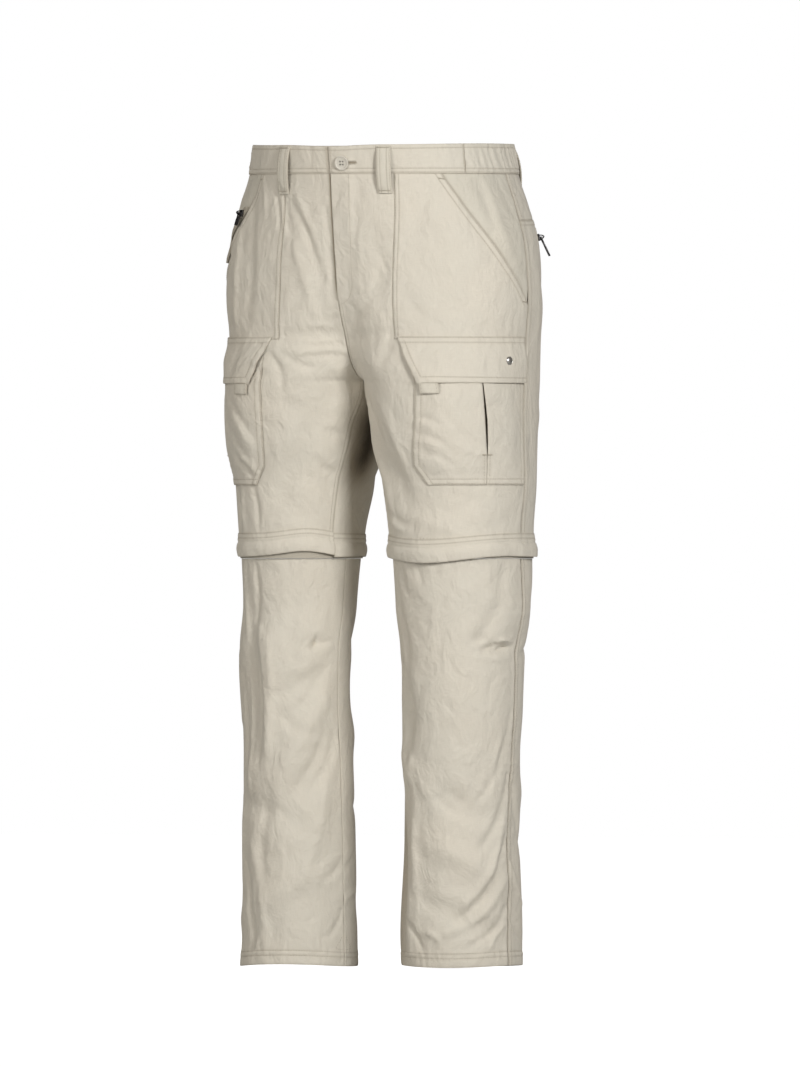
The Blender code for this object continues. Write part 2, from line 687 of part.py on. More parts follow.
# Zip hardware, in mm: the pull's cross bar runs through the slider's bridge
BODY_LENGTH, BODY_WIDTH, BODY_HEIGHT = 9.0, 8.0, 2.4
BRIDGE_WINDOW, BRIDGE_CLEAR, BRIDGE_WALL, BRIDGE_WIDTH = 3.2, 2.6, 1.1, 2.4
PULL_WIDTH, PULL_THICK = 8.0, 1.3
PULL_HOLE = (4.0, 4.4)


def axes_matrix(across, along, out, spot=(0.0, 0.0, 0.0)):
    """Turns x, y and z into three directions, at a spot in mm."""
    columns = [*zip(across, along, out, [value * MM for value in spot])]
    return Matrix([*columns, (0, 0, 0, 1)])


def build_slider(name, frame):
    """A slider body with a bridge over it, set on its tape."""
    spot, out, down, across = frame
    body = prism(name, rounded_box(BODY_WIDTH, BODY_LENGTH, 1.6), 0.0, BODY_HEIGHT, "metal")
    half = BRIDGE_WINDOW / 2
    foot = BODY_HEIGHT - 0.8
    top = BODY_HEIGHT + BRIDGE_CLEAR
    outline = [(-half - BRIDGE_WALL, foot), (-half, foot), (-half, top), (half, top), (half, foot),
               (half + BRIDGE_WALL, foot), (half + BRIDGE_WALL, top + 0.4), (half + 0.4, top + BRIDGE_WALL),
               (-half - 0.4, top + BRIDGE_WALL), (-half - BRIDGE_WALL, top + 0.4)]
    bridge = prism(name + "_bridge", outline, -BRIDGE_WIDTH / 2, BRIDGE_WIDTH / 2, "metal")
    bridge.data.transform(axes_matrix((0, 1, 0), (0, 0, 1), (1, 0, 0)))
    boolean(body, bridge, "UNION")
    body.matrix_world = axes_matrix(across, down, out, spot)
    return body


def build_pull(name, frame, length, lean):
    """A pull tab hanging from its slider's bridge, leaning out by some degrees."""
    spot, out, down, across = frame
    axis_height = BODY_HEIGHT + BRIDGE_CLEAR / 2
    bar = PULL_THICK
    outline = [(x, y + length / 2 - bar / 2) for x, y in rounded_box(PULL_WIDTH, length, 0.6)]
    wide, tall = PULL_HOLE
    hole = [(-wide / 2, bar / 2), (wide / 2, bar / 2), (wide / 2, bar / 2 + tall), (-wide / 2, bar / 2 + tall)]
    pull = prism(name, outline, -PULL_THICK / 2, PULL_THICK / 2, "metal", hole)
    turn = math.radians(lean)
    along = down * math.cos(turn) + out * math.sin(turn)
    face = out * math.cos(turn) - down * math.sin(turn)
    pull.matrix_world = axes_matrix(across, along, face, spot + out * axis_height)
    return pull


def zip_strip(name, half, start, end, width, cells=5, off=LAY_GAP, finish="zip"):
    """A strip of zip tape laid on the cloth between two places."""
    share = spaced(0, 1, cells)[:, None]
    across = np.array([-0.5, 0.0, 0.5])
    way = start[0] + (end[0] - start[0]) * share + across * width / WAY_LENGTH
    level = start[1] + (end[1] - start[1]) * share + 0 * way
    cloth(name, half, way, level, off + TAPE_THICK, TAPE_THICK, finish)


# Zips that close a pocket: side, top place, lower place, width of the tape, and the pull's length and
# its lean in degrees
ZIPS = {
    "left_back": (LEFT, (1.27, -84.0), (1.33, -190.0), 14.0, 27.0, 14.0),
    "right_back": (RIGHT, (1.27, -84.0), (1.33, -190.0), 14.0, 27.0, 8.0),
    "right_hand": (RIGHT, (0.642, -58.0), (0.852, -128.0), 12.0, 17.0, 6.0),
}
SLIDER_DOWN = 0.12


def build_zips():
    for name, (side, start, end, width, length, lean) in ZIPS.items():
        half = UPPER[side]
        zip_strip(f"{name}_zip_tape", half, start, end, width)
        way = start[0] + (end[0] - start[0]) * SLIDER_DOWN
        level = start[1] + (end[1] - start[1]) * SLIDER_DOWN
        frame = local_frame(half, way, level, LAY_GAP + TAPE_THICK + SLIDER_CLEAR)
        build_slider(f"{name}_zip_slider", frame)
        build_pull(f"{name}_zip_pull", frame, length, lean)


# Belt loops: side, way, slant of the lower end in ways, level of the lower end, and bulge
BELT_LOOPS = {
    "belt_loop_front_left": (LEFT, 0.33, 0.012, -42.0, 4.8),
    "belt_loop_front_right": (RIGHT, 0.31, 0.03, -42.0, 4.8),
    "belt_loop_side_left": (LEFT, 1.34, 0.0, -34.0, 4.2),
    "belt_loop_side_right": (RIGHT, 1.34, 0.0, -34.0, 4.2),
    "belt_loop_back": (LEFT, 2.0, 0.0, -42.0, 4.8),
}
LOOP_TOP = 17.0
# The loops widen round the hips by this much, and stand this far off the band at their tacks
LOOP_SPREAD, LOOP_CLEAR = 1.18, 0.25


def build_belt_loops():
    """Folded strips tacked above and below the band, bowed out between."""
    share = spaced(0, 1, 8)[:, None]
    across = np.array([-0.5, 0.0, 0.5]) * LOOP_SPREAD * LOOP_WIDTH / WAY_LENGTH
    for name, (side, way, slant, bottom, bulge) in BELT_LOOPS.items():
        level = LOOP_TOP + (bottom - LOOP_TOP) * share
        ways = way + slant * share + across
        bow = np.sin(math.pi * np.clip((share - 0.06) / 0.88, 0, 1)) ** 0.7
        face = BAND_RISE + LAY_GAP + LOOP_CLEAR + bulge * bow + LOOP_THICK
        cloth(name, UPPER[side], ways, level + 0 * ways, face, LOOP_THICK, "trim")


# The button's place, its thread holes, and the slot it goes through
BUTTON_PLACE = (0.087, -3.5)
THREAD_SPACING, THREAD_HOLE = 1.9, 0.9
BUTTONHOLE = (23.0, 3.2)
BUTTONHOLE_SHIFT = 8.0


def build_button():
    """A four-hole button on its thread, through a slot in the left band."""
    spot, out, down, across = local_frame(UPPER[LEFT], *BUTTON_PLACE, BAND_RISE + FLY_RISE + SEAM_GAP)
    button = prism("waist_button", circle(BUTTON_RADIUS, 24), 0.0, BUTTON_HEIGHT, "button")
    for x in (-1, 1):
        for y in (-1, 1):
            hole = prism("hole", [(x * THREAD_SPACING + px, y * THREAD_SPACING + py)
                                  for px, py in circle(THREAD_HOLE, 8)],
                         -1.0, BUTTON_HEIGHT + 1.0, "button")
            boolean(button, hole, "DIFFERENCE")
    thread = prism("thread", circle(1.0, 8), -BAND_THICK - SEAM_GAP, 0.5, "button")
    boolean(button, thread, "UNION")
    button.matrix_world = axes_matrix(across, down, out, spot)
    slot = prism("slot", rounded_box(*BUTTONHOLE, 1.2), -2 * BAND_THICK, BAND_THICK, "cloth")
    slot.matrix_world = axes_matrix(across, down, out, spot + across * BUTTONHOLE_SHIFT)
    boolean(bpy.data.objects["waistband_left"], slot, "DIFFERENCE")


# The stud's place on the flap, its lower and upper radius and its height
STUD_PLACE = (0.86, -251.0)
STUD_SIZE = (5.2, 3.2, 2.4)


def build_stud():
    """A plain domed stud on the left flap."""
    half = UPPER[LEFT]
    spot, out, down, across = local_frame(half, *STUD_PLACE, LAY_GAP + WALL + FLAP_LIFT - 0.6)
    shape = bmesh.new()
    low, high, height = STUD_SIZE
    bmesh.ops.create_cone(shape, cap_ends=True, segments=16, radius1=low * MM, radius2=high * MM,
                          depth=height * MM)
    mesh = bpy.data.meshes.new("flap_stud")
    shape.to_mesh(mesh)
    shape.free()
    stud = add_object("flap_stud", mesh, "stud")
    stud.matrix_world = axes_matrix(across, down, out, spot + out * (SEAM_GAP + height / 2))


def main():
    clear_scene()
    for side in (LEFT, RIGHT):
        build_front(side)
        build_front_side(side)
        build_hip_facing(side)
        build_back(side)
        build_cargo(side)
        build_knee(side)
        build_lower_leg(side)
    build_waistband()
    build_fly_shield()
    build_zips()
    build_belt_loops()
    build_button()
    build_stud()


if __name__ == "__main__":
    main()
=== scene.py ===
"""Dresses the convertible zip-off trousers: cut pieces of cloth, sewing, zips, button and studio.

A place on one half of the garment is a way and a level, as in the part's source: way is 0 at centre
front (the inseam on a leg), 1 at the side seam and 2 at centre back; level is the height above the
waist line in mm. Sizes are millimetres until a mesh is made.
"""

import logging
import math
from dataclasses import dataclass, field
from enum import Enum
from functools import cache
from typing import Callable, Iterable, Sequence

import bmesh
import bpy
import numpy as np
from mathutils import Matrix, Vector

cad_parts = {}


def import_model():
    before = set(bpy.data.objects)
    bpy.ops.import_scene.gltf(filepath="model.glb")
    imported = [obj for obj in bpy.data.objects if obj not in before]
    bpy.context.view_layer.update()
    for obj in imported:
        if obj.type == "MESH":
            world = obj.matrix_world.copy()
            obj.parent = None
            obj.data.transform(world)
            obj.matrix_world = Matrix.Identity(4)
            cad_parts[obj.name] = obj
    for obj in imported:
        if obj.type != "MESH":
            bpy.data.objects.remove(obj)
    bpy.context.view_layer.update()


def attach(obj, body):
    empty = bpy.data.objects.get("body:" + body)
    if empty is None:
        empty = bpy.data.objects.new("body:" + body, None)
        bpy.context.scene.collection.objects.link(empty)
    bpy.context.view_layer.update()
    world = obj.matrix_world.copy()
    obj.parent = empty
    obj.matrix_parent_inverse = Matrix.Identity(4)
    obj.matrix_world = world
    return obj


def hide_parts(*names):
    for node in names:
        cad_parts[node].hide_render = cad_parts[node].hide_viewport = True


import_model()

LOG = logging.getLogger("trousers")
Array = np.ndarray
Place = tuple[float, float]
Place3 = tuple[float, float, float]
Rise = Callable[[Array, Array], Array]

MM = 0.001
WAY_LENGTH = 250.0
HALF_GAP = 0.15
WAY_GAP = HALF_GAP / WAY_LENGTH
CLOTH_THICK = 0.7
LAY_GAP = 0.45
WALL = 1.5

BAND_TOP, BAND_BOTTOM = 19.0, -17.0
FLY_BOTTOM = -180.0
SLANT_BOTTOM = -182.0
FLAP_SEAM, FLAP_TOP, FLAP_BOTTOM = -224.0, -221.0, -279.0
TAB_BOTTOM = -292.0
POCKET_TOP, POCKET_CHAMFER, POCKET_BOTTOM = -262.0, -382.0, -406.0
CROTCH_TOP, CROTCH = -165.0, -275.0
KNEE_TOP, KNEE_ZIP_BOTTOM, KNEE_BAND_TOP = -472.0, -498.0, -466.0
KNEE_TEETH, BAND_JOIN_BOTTOM, BAND_ROW_BOTTOM = -485.0, -500.0, -490.0
HEM, HEM_TURN = -1008.0, 17.0
ELASTIC_WAYS = (0.745, 1.28)
YOKE_SIDE, YOKE_BACK = -75.0, -62.0
FLY_WIDTH_WAY, FLY_RISE = 0.13, 1.4
DIP_WIDTH, END_REACH = 42.0, 0.15
SIDE_BLEND = (140.0, 340.0)
BAND_RISE, UNDERLAP_DROP = 1.0, 1.6
POCKET_BACK, POCKET_SWELL = 0.985, 3.2
FLAP_LIFT = POCKET_SWELL + LAY_GAP + WALL + 0.4
PLEAT_SHARE = 0.57


class Side(Enum):
    """A side of the wearer; the value is the sign of x."""

    LEFT = 1
    RIGHT = -1

    @property
    def word(self) -> str:
        """The side's name as node names use it."""
        return self.name.lower()


class Slot(Enum):
    """The record's material slots."""

    CLOTH = "cloth"
    TRIM = "trim"
    ZIP = "zip"
    METAL = "metal"
    STUD = "stud"
    BUTTON = "button"


class Hold(Enum):
    """How a piece of cloth is held."""

    HUNG = "hung"
    GATHERED = "gathered"
    FOLDED = "folded"


# The hand pocket mouth's way at the waistband and how much its line bows, and the cargo edges' ways
SLANTS = {Side.LEFT: (0.625, 1.0), Side.RIGHT: (0.54, 1.25)}
FLAP_FRONTS = {Side.LEFT: (0.395, 0.473), Side.RIGHT: (0.415, 0.494)}
POCKET_FRONT_DEPTHS = (262.0, 283.0, 331.0, 382.0, 406.0)
POCKET_FRONTS = {Side.LEFT: (0.456, 0.454, 0.425, 0.380, 0.434),
                 Side.RIGHT: (0.446, 0.444, 0.425, 0.414, 0.466)}


def table(names: str, *rows: Sequence[float]) -> dict[str, Array]:
    """Makes a table of named columns from rows of numbers, lowest level first."""
    return dict(zip(names.split(), np.array(sorted(rows), dtype=float).T))


TORSO = table(
    "level half_width front back squareness dip",
    (20, 169, 139, 132, 2.10, 0),
    (-18, 176, 133, 132, 2.15, 0),
    (-55, 189, 131, 135, 2.20, 1),
    (-106, 203, 128, 139, 2.30, 4),
    (-145, 207, 127, 138, 2.35, 8),
    (-181, 209, 127, 138, 2.35, 13),
    (-221, 207, 126, 135, 2.35, 20),
    (-275, 206, 126, 132, 2.35, 22),
    (-340, 202, 124, 124, 2.35, 22),
)
LEG_COLUMNS = "level centre_x centre_y outer inner front back squareness inseam side"
UPPER_LEG = {
    Side.LEFT: table(
        LEG_COLUMNS,
        (-275, 103, 0, 98, 101, 121, 112, 2.30, -64, 90),
        (-350, 108, -1, 94, 100, 112, 104, 2.20, -62, 90),
        (-406, 113, -4, 92, 95, 98, 99, 2.10, -60, 90),
        (-462, 115, -6, 88, 88, 94, 94, 2.10, -60, 88),
        (-500, 117, -6, 86, 87, 92, 92, 2.10, -60, 88),
    ),
    Side.RIGHT: table(
        LEG_COLUMNS,
        (-275, 103, 0, 96, 101, 119, 112, 2.30, -64, 90),
        (-350, 108, -1, 91, 92, 107, 104, 2.20, -62, 90),
        (-406, 113, -4, 83, 82, 91, 102, 2.10, -60, 90),
        (-462, 115, -6, 77, 75, 84, 88, 2.10, -60, 90),
        (-500, 116, -6, 74, 73, 80, 82, 2.10, -60, 90),
    ),
}
LOWER_LEG = {
    Side.LEFT: table(
        LEG_COLUMNS,
        (-490, 117, -6, 84, 85, 90, 90, 2.10, -81, 90),
        (-556, 119, -5, 84, 85, 87, 87, 2.05, -81, 90),
        (-612, 120, -11, 77, 77, 79, 80, 2.05, -81, 90),
        (-687, 120, -12, 75, 75, 77, 78, 2.00, -81, 90),
        (-744, 118, -11, 73, 73, 75, 75, 2.00, -81, 89),
        (-850, 118, -10, 72, 72, 74, 75, 2.00, -81, 82),
        (-969, 117, -9, 76, 76, 78, 78, 2.00, -81, 80),
        (-1010, 118, -9, 75, 75, 76, 77, 2.00, -81, 80),
    ),
    Side.RIGHT: table(
        LEG_COLUMNS,
        (-490, 116, -6, 73, 72, 78, 80, 2.10, -81, 90),
        (-556, 119, -5, 70, 70, 73, 74, 2.05, -81, 90),
        (-612, 121, -12, 69, 69, 72, 73, 2.05, -81, 90),
        (-687, 120, -12, 67, 67, 69, 70, 2.00, -81, 90),
        (-744, 118, -11, 68, 68, 70, 71, 2.00, -81, 89),
        (-850, 117, -10, 70, 70, 72, 73, 2.00, -81, 84),
        (-969, 117, -9, 72, 72, 73, 74, 2.00, -81, 84),
        (-1010, 118, -9, 73, 73, 75, 75, 2.00, -81, 84),
    ),
}
PRINCESS = {
    Side.LEFT: table("level way", (-10, 0.385), (-60, 0.39), (-130, 0.38), (-224, 0.37)),
    Side.RIGHT: table("level way", (-10, 0.35), (-60, 0.34), (-130, 0.37), (-224, 0.38)),
}

# Folds and creases: start way and level, end way and level, half width, rise, sideways bow, and how
# much wider the slope is on the side to the right of the run (from outside on the left half).
# The main folds have six columns and stand as in the solids; finer ones have more and are heightened
MAIN_COLUMNS, FINE_GAIN = 6, 1.65
UPPER_CREASES: dict[Side, tuple[tuple[float, ...], ...]] = {
    Side.LEFT: (
        (0.05, -225, 0.45, -214, 9, -2.5),
        (0.10, -248, 0.40, -262, 12, 3.0),
        (0.12, -300, 0.30, -430, 16, -4.0),
        (1.75, -250, 1.35, -300, 20, -5.0),
        (1.70, -300, 1.30, -380, 18, -4.5),
        (0.20, -60, 0.17, -190, 7, 0.9, 4),
        (0.27, -90, 0.30, -215, 10, -1.0, -5),
        (0.31, -118, 0.36, -142, 4, -0.9, 2),
        (0.06, -205, 0.30, -150, 9, -1.2, 6),
        (0.36, -190, 0.29, -260, 9, -1.6, -6),
        (0.50, -40, 0.55, -150, 12, -0.9, 6),
        (0.58, -60, 0.66, -165, 9, 0.8, -5),
        (0.45, -170, 0.60, -215, 8, -0.8, 4),
        (0.78, -20, 0.83, -95, 7, -1.2, -5),
        (0.85, -30, 0.90, -110, 6, 1.0, 3),
        (0.72, -60, 0.86, -135, 12, -1.5, 4),
        (0.92, -20, 0.97, -70, 5, -0.8, 2),
        (0.05, -262, 0.16, -330, 7, -2.2, 5),
        (0.08, -320, 0.18, -450, 9, 2.4, 4),
        (0.24, -300, 0.33, -390, 8, 1.4, -5),
        (0.30, -420, 0.60, -440, 14, -1.4, 6),
        (0.62, -420, 0.80, -455, 12, -1.2, -5),
        (0.16, -440, 0.34, -458, 5, -1.4, 4),
        (0.14, -452, 0.30, -463, 3.4, 1.0, 2),
        (0.40, -452, 0.56, -460, 6, 0.8, 2),
        (1.15, -120, 1.35, -210, 12, -1.4, 8),
        (1.62, -120, 1.50, -230, 14, -1.8, -9),
        (1.93, -150, 1.60, -240, 9, -2.0, 10),
        (1.90, -220, 1.45, -262, 7, 1.6, 8),
        (1.88, -262, 1.50, -330, 8, -1.8, 9),
        (1.20, -320, 1.45, -420, 11, 1.5, -8),
        (1.80, -380, 1.50, -450, 9, -1.6, 7),
    ),
    Side.RIGHT: (
        (0.05, -218, 0.50, -222, 9, -2.5),
        (0.10, -236, 0.45, -240, 12, 3.0),
        (0.72, -50, 0.70, -190, 13, 3.5),
        (0.15, -300, 0.36, -440, 16, -4.0),
        (1.75, -250, 1.35, -300, 20, -5.0),
        (1.70, -310, 1.30, -390, 18, -4.5),
        (0.30, -50, 0.10, -150, 7, -1.5, 7),
        (0.24, -48, 0.12, -120, 6, 1.1, 4),
        (0.36, -30, 0.30, -120, 6, -1.0, 4),
        (0.33, -90, 0.17, -190, 9, 1.3, 6),
        (0.05, -60, 0.04, -170, 5, -1.4, 2),
        (0.42, -28, 0.37, -90, 4.5, -1.2, 3),
        (0.52, -22, 0.48, -70, 4, 0.9, 3),
        (0.58, -40, 0.57, -200, 7, -1.6, 2),
        (0.66, -80, 0.66, -215, 5, 1.4, -2),
        (0.78, -90, 0.78, -215, 6, -1.8, 3),
        (0.85, -60, 0.86, -205, 6, 1.2, 2),
        (0.04, -196, 0.16, -214, 4, -1.2, 2),
        (0.04, -206, 0.20, -205, 4, 1.0, 2),
        (0.04, -230, 0.34, -231, 3.6, -1.5, 2),
        (0.03, -246, 0.26, -247, 4.5, -1.7, -3),
        (0.03, -254, 0.20, -262, 5, 1.2, 3),
        (0.47, -232, 0.34, -290, 4.5, -1.5, 9),
        (0.36, -238, 0.14, -262, 5, -1.2, -6),
        (0.50, -250, 0.42, -262, 4, 1.0, 2),
        (0.45, -296, 0.27, -318, 9, -0.9, 4),
        (0.03, -352, 0.14, -338, 6, -1.3, -3),
        (0.03, -384, 0.13, -364, 7, 1.2, 3),
        (0.04, -392, 0.15, -378, 5, -1.1, 2),
        (0.50, -408, 0.47, -462, 4, -1.4, 3),
        (0.60, -410, 0.60, -462, 4.5, 1.3, -2),
        (0.68, -412, 0.66, -458, 5, -1.4, 2),
        (0.30, -420, 0.16, -462, 10, -0.9, 5),
        (1.15, -120, 1.35, -210, 12, -1.4, 8),
        (1.60, -110, 1.50, -240, 14, -1.8, -9),
        (1.92, -160, 1.58, -236, 9, -2.0, 10),
        (1.88, -226, 1.42, -270, 7, 1.6, 8),
        (1.86, -268, 1.50, -326, 8, -1.8, 9),
        (1.20, -330, 1.48, -430, 11, 1.5, -8),
        (1.76, -372, 1.52, -452, 9, -1.6, 7),
    ),
}
LOWER_CREASES: dict[Side, tuple[tuple[float, ...], ...]] = {
    Side.LEFT: (
        (0.18, -640, 0.34, -705, 15, -6.0),
        (0.16, -655, 0.30, -735, 10, -1.6, -4),
        (0.13, -790, 0.24, -985, 13, -3.4, -6),
        (0.37, -800, 0.34, -990, 9, 2.0, 3),
        (0.20, -628, 0.30, -742, 8, -2.2, -6, 1.2),
        (0.24, -742, 0.40, -800, 8, -1.6, -6),
        (0.52, -800, 0.72, -824, 7, -1.4, 3),
        (0.30, -735, 0.33, -765, 9, 1.6, 2),
        (0.20, -745, 0.42, -790, 15, 5.0),
        (0.72, -600, 0.98, -618, 9, -4.5),
        (0.55, -790, 0.80, -822, 14, -5.5),
        (0.45, -850, 1.00, -905, 16, 4.5),
        (0.40, -920, 0.95, -975, 14, -4.0),
        (1.20, -560, 1.70, -640, 22, -6.0),
        (1.80, -700, 1.25, -790, 20, 5.5),
        (1.25, -850, 1.75, -920, 18, -5.0),
        (0.30, -505, 0.33, -540, 4, -1.6, 3),
        (0.42, -505, 0.43, -530, 3.5, -1.3, 1),
        (0.24, -560, 0.28, -650, 6, -2.2, -8),
        (0.86, -520, 0.74, -600, 10, -1.8, -6),
        (0.70, -608, 0.80, -598, 3.2, 1.6, 3),
        (0.76, -612, 0.84, -604, 2.6, -2.8, 2),
        (0.80, -606, 0.94, -602, 2.8, 2.2, -3),
        (0.82, -616, 0.97, -608, 2.4, -2.4, -2),
        (0.72, -622, 0.95, -621, 3.5, 1.2, 2),
        (0.66, -620, 0.60, -700, 8, 1.2, -5),
        (0.97, -690, 0.78, -800, 6, -1.8, -8),
        (0.90, -720, 0.86, -790, 5, 1.2, 4),
        (0.22, -770, 0.34, -900, 8, -2.4, -7),
        (0.28, -800, 0.40, -960, 9, 2.4, -8),
        (0.98, -770, 0.80, -860, 6, -2.4, -9),
        (0.96, -830, 0.72, -930, 6, 2.2, -10),
        (0.98, -852, 0.66, -950, 5, -2.4, -12),
        (0.97, -900, 0.60, -968, 5, 2.0, -12),
        (0.99, -930, 0.74, -982, 3.6, -1.8, -8),
        (0.99, -880, 0.88, -905, 3, -1.5, 2),
        (0.98, -955, 0.86, -985, 3, 1.5, 2),
        (0.30, -950, 0.44, -985, 4, -2.0, -5),
        (0.45, -965, 0.56, -976, 4, 1.6, -3),
        (1.02, -780, 1.20, -860, 6, -2.0, 6),
        (1.02, -880, 1.16, -930, 5, 1.8, 4),
        (1.02, -945, 1.20, -985, 4, -1.8, 4),
        (1.90, -560, 1.60, -690, 9, -1.8, 8),
        (1.35, -650, 1.55, -760, 10, 1.8, -7),
        (1.85, -800, 1.50, -880, 9, -1.8, 8),
        (1.40, -900, 1.60, -985, 8, 1.8, -6),
        (1.05, -620, 1.30, -590, 6, -1.6, 5),
    ),
    Side.RIGHT: (
        (0.62, -575, 0.66, -730, 22, -7.0),
        (0.10, -712, 0.42, -814, 8, -2.4, 5, 0.8),
        (0.62, -596, 0.60, -716, 11, -2.4, 4, 1.0),
        (0.545, -585, 0.50, -735, 6, 1.6, 4),
        (0.15, -652, 0.36, -694, 7, -1.9, 4, 0.8),
        (0.12, -676, 0.45, -780, 14, 5.0),
        (0.13, -640, 0.42, -672, 12, -4.5),
        (0.14, -602, 0.24, -606, 8, -4.5),
        (0.30, -830, 0.75, -800, 16, -4.5),
        (0.25, -900, 0.80, -950, 16, 4.0),
        (1.20, -570, 1.70, -650, 22, -6.0),
        (1.80, -710, 1.25, -780, 20, 5.5),
        (1.25, -860, 1.75, -930, 18, -5.0),
        (0.58, -505, 0.58, -575, 5, -1.8, 4),
        (0.70, -510, 0.66, -600, 6, 1.8, -3),
        (0.48, -600, 0.50, -740, 8, 2.2, 7),
        (0.56, -620, 0.58, -760, 5, -1.8, 6),
        (0.66, -650, 0.68, -790, 4.5, 1.5, 4),
        (0.74, -640, 0.74, -780, 5, -1.6, 4),
        (0.84, -620, 0.84, -700, 7, 1.6, 4),
        (0.06, -600, 0.18, -606, 2.4, -1.6, 1),
        (0.17, -596, 0.20, -612, 2.4, -2.8, 2),
        (0.21, -600, 0.24, -606, 3, 1.4, 1),
        (0.04, -720, 0.26, -800, 9, -2.4, 6),
        (0.12, -760, 0.30, -900, 10, 1.8, 8),
        (0.05, -690, 0.20, -670, 6, 1.2, -4),
        (0.32, -520, 0.30, -640, 10, -1.2, -5),
        (0.42, -690, 0.20, -720, 8, -1.4, -5),
        (0.50, -790, 0.58, -930, 12, -2.2, -6),
        (0.64, -860, 0.52, -985, 9, 2.0, 6),
        (0.72, -880, 0.62, -985, 6, -2.0, 5),
        (0.80, -800, 0.78, -900, 9, 1.6, 4),
        (0.03, -880, 0.16, -900, 5, -1.2, 3),
        (0.02, -940, 0.14, -972, 4, -1.4, 4),
        (0.56, -970, 0.62, -988, 3.4, 1.6, 1),
        (1.88, -870, 1.98, -885, 4, -1.5, 2),
        (1.86, -915, 1.98, -925, 4, 1.5, -2),
        (1.90, -560, 1.60, -690, 9, -1.8, 8),
        (1.35, -650, 1.55, -760, 10, 1.8, -7),
        (1.85, -800, 1.50, -880, 9, -1.8, 8),
        (1.40, -900, 1.60, -985, 8, 1.8, -6),
        (1.05, -700, 1.20, -800, 8, -1.8, 6),
        (1.05, -900, 1.22, -980, 6, 1.6, 5),
    ),
}


def curve_through(xs: Array, ys: Array, at: Array) -> Array:
    """Reads a smooth curve through points, with no overshoot between them.

    Args:
        xs: The points' places, rising.
        ys: Their values.
        at: Where to read the curve.

    Returns:
        The curve's values.
    """
    step = np.diff(xs)
    slope = np.diff(ys) / step
    tangent = np.zeros(len(xs))
    tangent[0], tangent[-1] = slope[0], slope[-1]
    for i in range(1, len(xs) - 1):
        if slope[i - 1] * slope[i] > 0:
            tangent[i] = 2 * slope[i - 1] * slope[i] / (slope[i - 1] + slope[i])
    at = np.clip(at, xs[0], xs[-1])
    k = np.clip(np.searchsorted(xs, at, side="right") - 1, 0, len(step) - 1)
    h = step[k]
    t = (at - xs[k]) / h
    return (
        ys[k] * (1 + 2 * t) * (1 - t) ** 2
        + h * tangent[k] * t * (1 - t) ** 2
        + ys[k + 1] * t * t * (3 - 2 * t)
        + h * tangent[k + 1] * t * t * (t - 1)
    )


def column(rows: dict[str, Array], name: str, level: Array) -> Array:
    """Reads one column of a table at any level."""
    return curve_through(rows["level"], rows[name], level)


def ramp(value: Array, start: float, end: float) -> Array:
    """Rises smoothly from 0 before start to 1 after end."""
    t = np.clip((value - start) / (end - start), 0, 1)
    return t * t * (3 - 2 * t)


def bump(value: Array, middle: float, half: float) -> Array:
    """A soft round hump of height 1 about the middle."""
    return np.exp(-(((value - middle) / half) ** 2))


def waver(along: Array, pitch: float, seed: float) -> Array:
    """An uneven ripple between about -1 and 1, as puckers along a seam have.

    Args:
        along: Distance along the seam, in mm.
        pitch: Usual distance between two puckers, in mm.
        seed: Shifts the ripple, so that no two seams match.

    Returns:
        The ripple's height.
    """
    turn = 2 * math.pi * along / pitch
    drift = 1.3 * np.sin(turn * 0.17 + seed * 2.1) + 0.8 * np.sin(turn * 0.41 + seed)
    swell = 0.62 + 0.38 * np.sin(turn * 0.113 + seed * 3.7) * np.sin(turn * 0.071 + seed)
    return swell * (0.7 * np.sin(turn + drift) + 0.3 * np.sin(1.73 * turn + seed * 5 - drift))


def reach(across: Array, along: Array, half_width: Array, depth: Array, squareness: Array) -> Array:
    """Distance from the middle to a rounded section, which is an ellipse at squareness 2."""
    total = np.abs(across / half_width) ** squareness + np.abs(along / depth) ** squareness
    return total ** (-1 / squareness)


def torso_point(way: Array, level: Array) -> tuple[Array, Array]:
    """x and y on the hip section.

    Args:
        way: Ways of the places.
        level: Their levels.

    Returns:
        Their x and y in mm.
    """
    turn = np.radians(90 * way)
    across, along = np.sin(turn), np.cos(turn)
    depth = np.where(along > 0, column(TORSO, "front", level), column(TORSO, "back", level))
    far = reach(across, along, column(TORSO, "half_width", level), depth,
                column(TORSO, "squareness", level))
    x, y = far * across, -far * along
    dip = column(TORSO, "dip", level) * np.exp(-((x / DIP_WIDTH) ** 2))
    return x, y + np.where(along > 0, dip, -0.5 * dip)


def leg_point(rows: dict[str, Array], way: Array, level: Array) -> tuple[Array, Array]:
    """x and y on one leg's section, as if the leg were the left one.

    Args:
        rows: The leg's table of sections.
        way: Ways round the leg.
        level: Levels.

    Returns:
        x and y in mm.
    """
    inseam, side = column(rows, "inseam", level), column(rows, "side", level)
    fore = inseam + (side - inseam) * way
    aft = side + (inseam + 360 - side) * (way - 1)
    turn = np.radians(np.where(way < 1, fore, aft))
    across, along = np.sin(turn), np.cos(turn)
    width = np.where(across > 0, column(rows, "outer", level), column(rows, "inner", level))
    depth = np.where(along > 0, column(rows, "front", level), column(rows, "back", level))
    far = reach(across, along, width, depth, column(rows, "squareness", level))
    return (column(rows, "centre_x", level) + far * across,
            column(rows, "centre_y", level) - far * along)


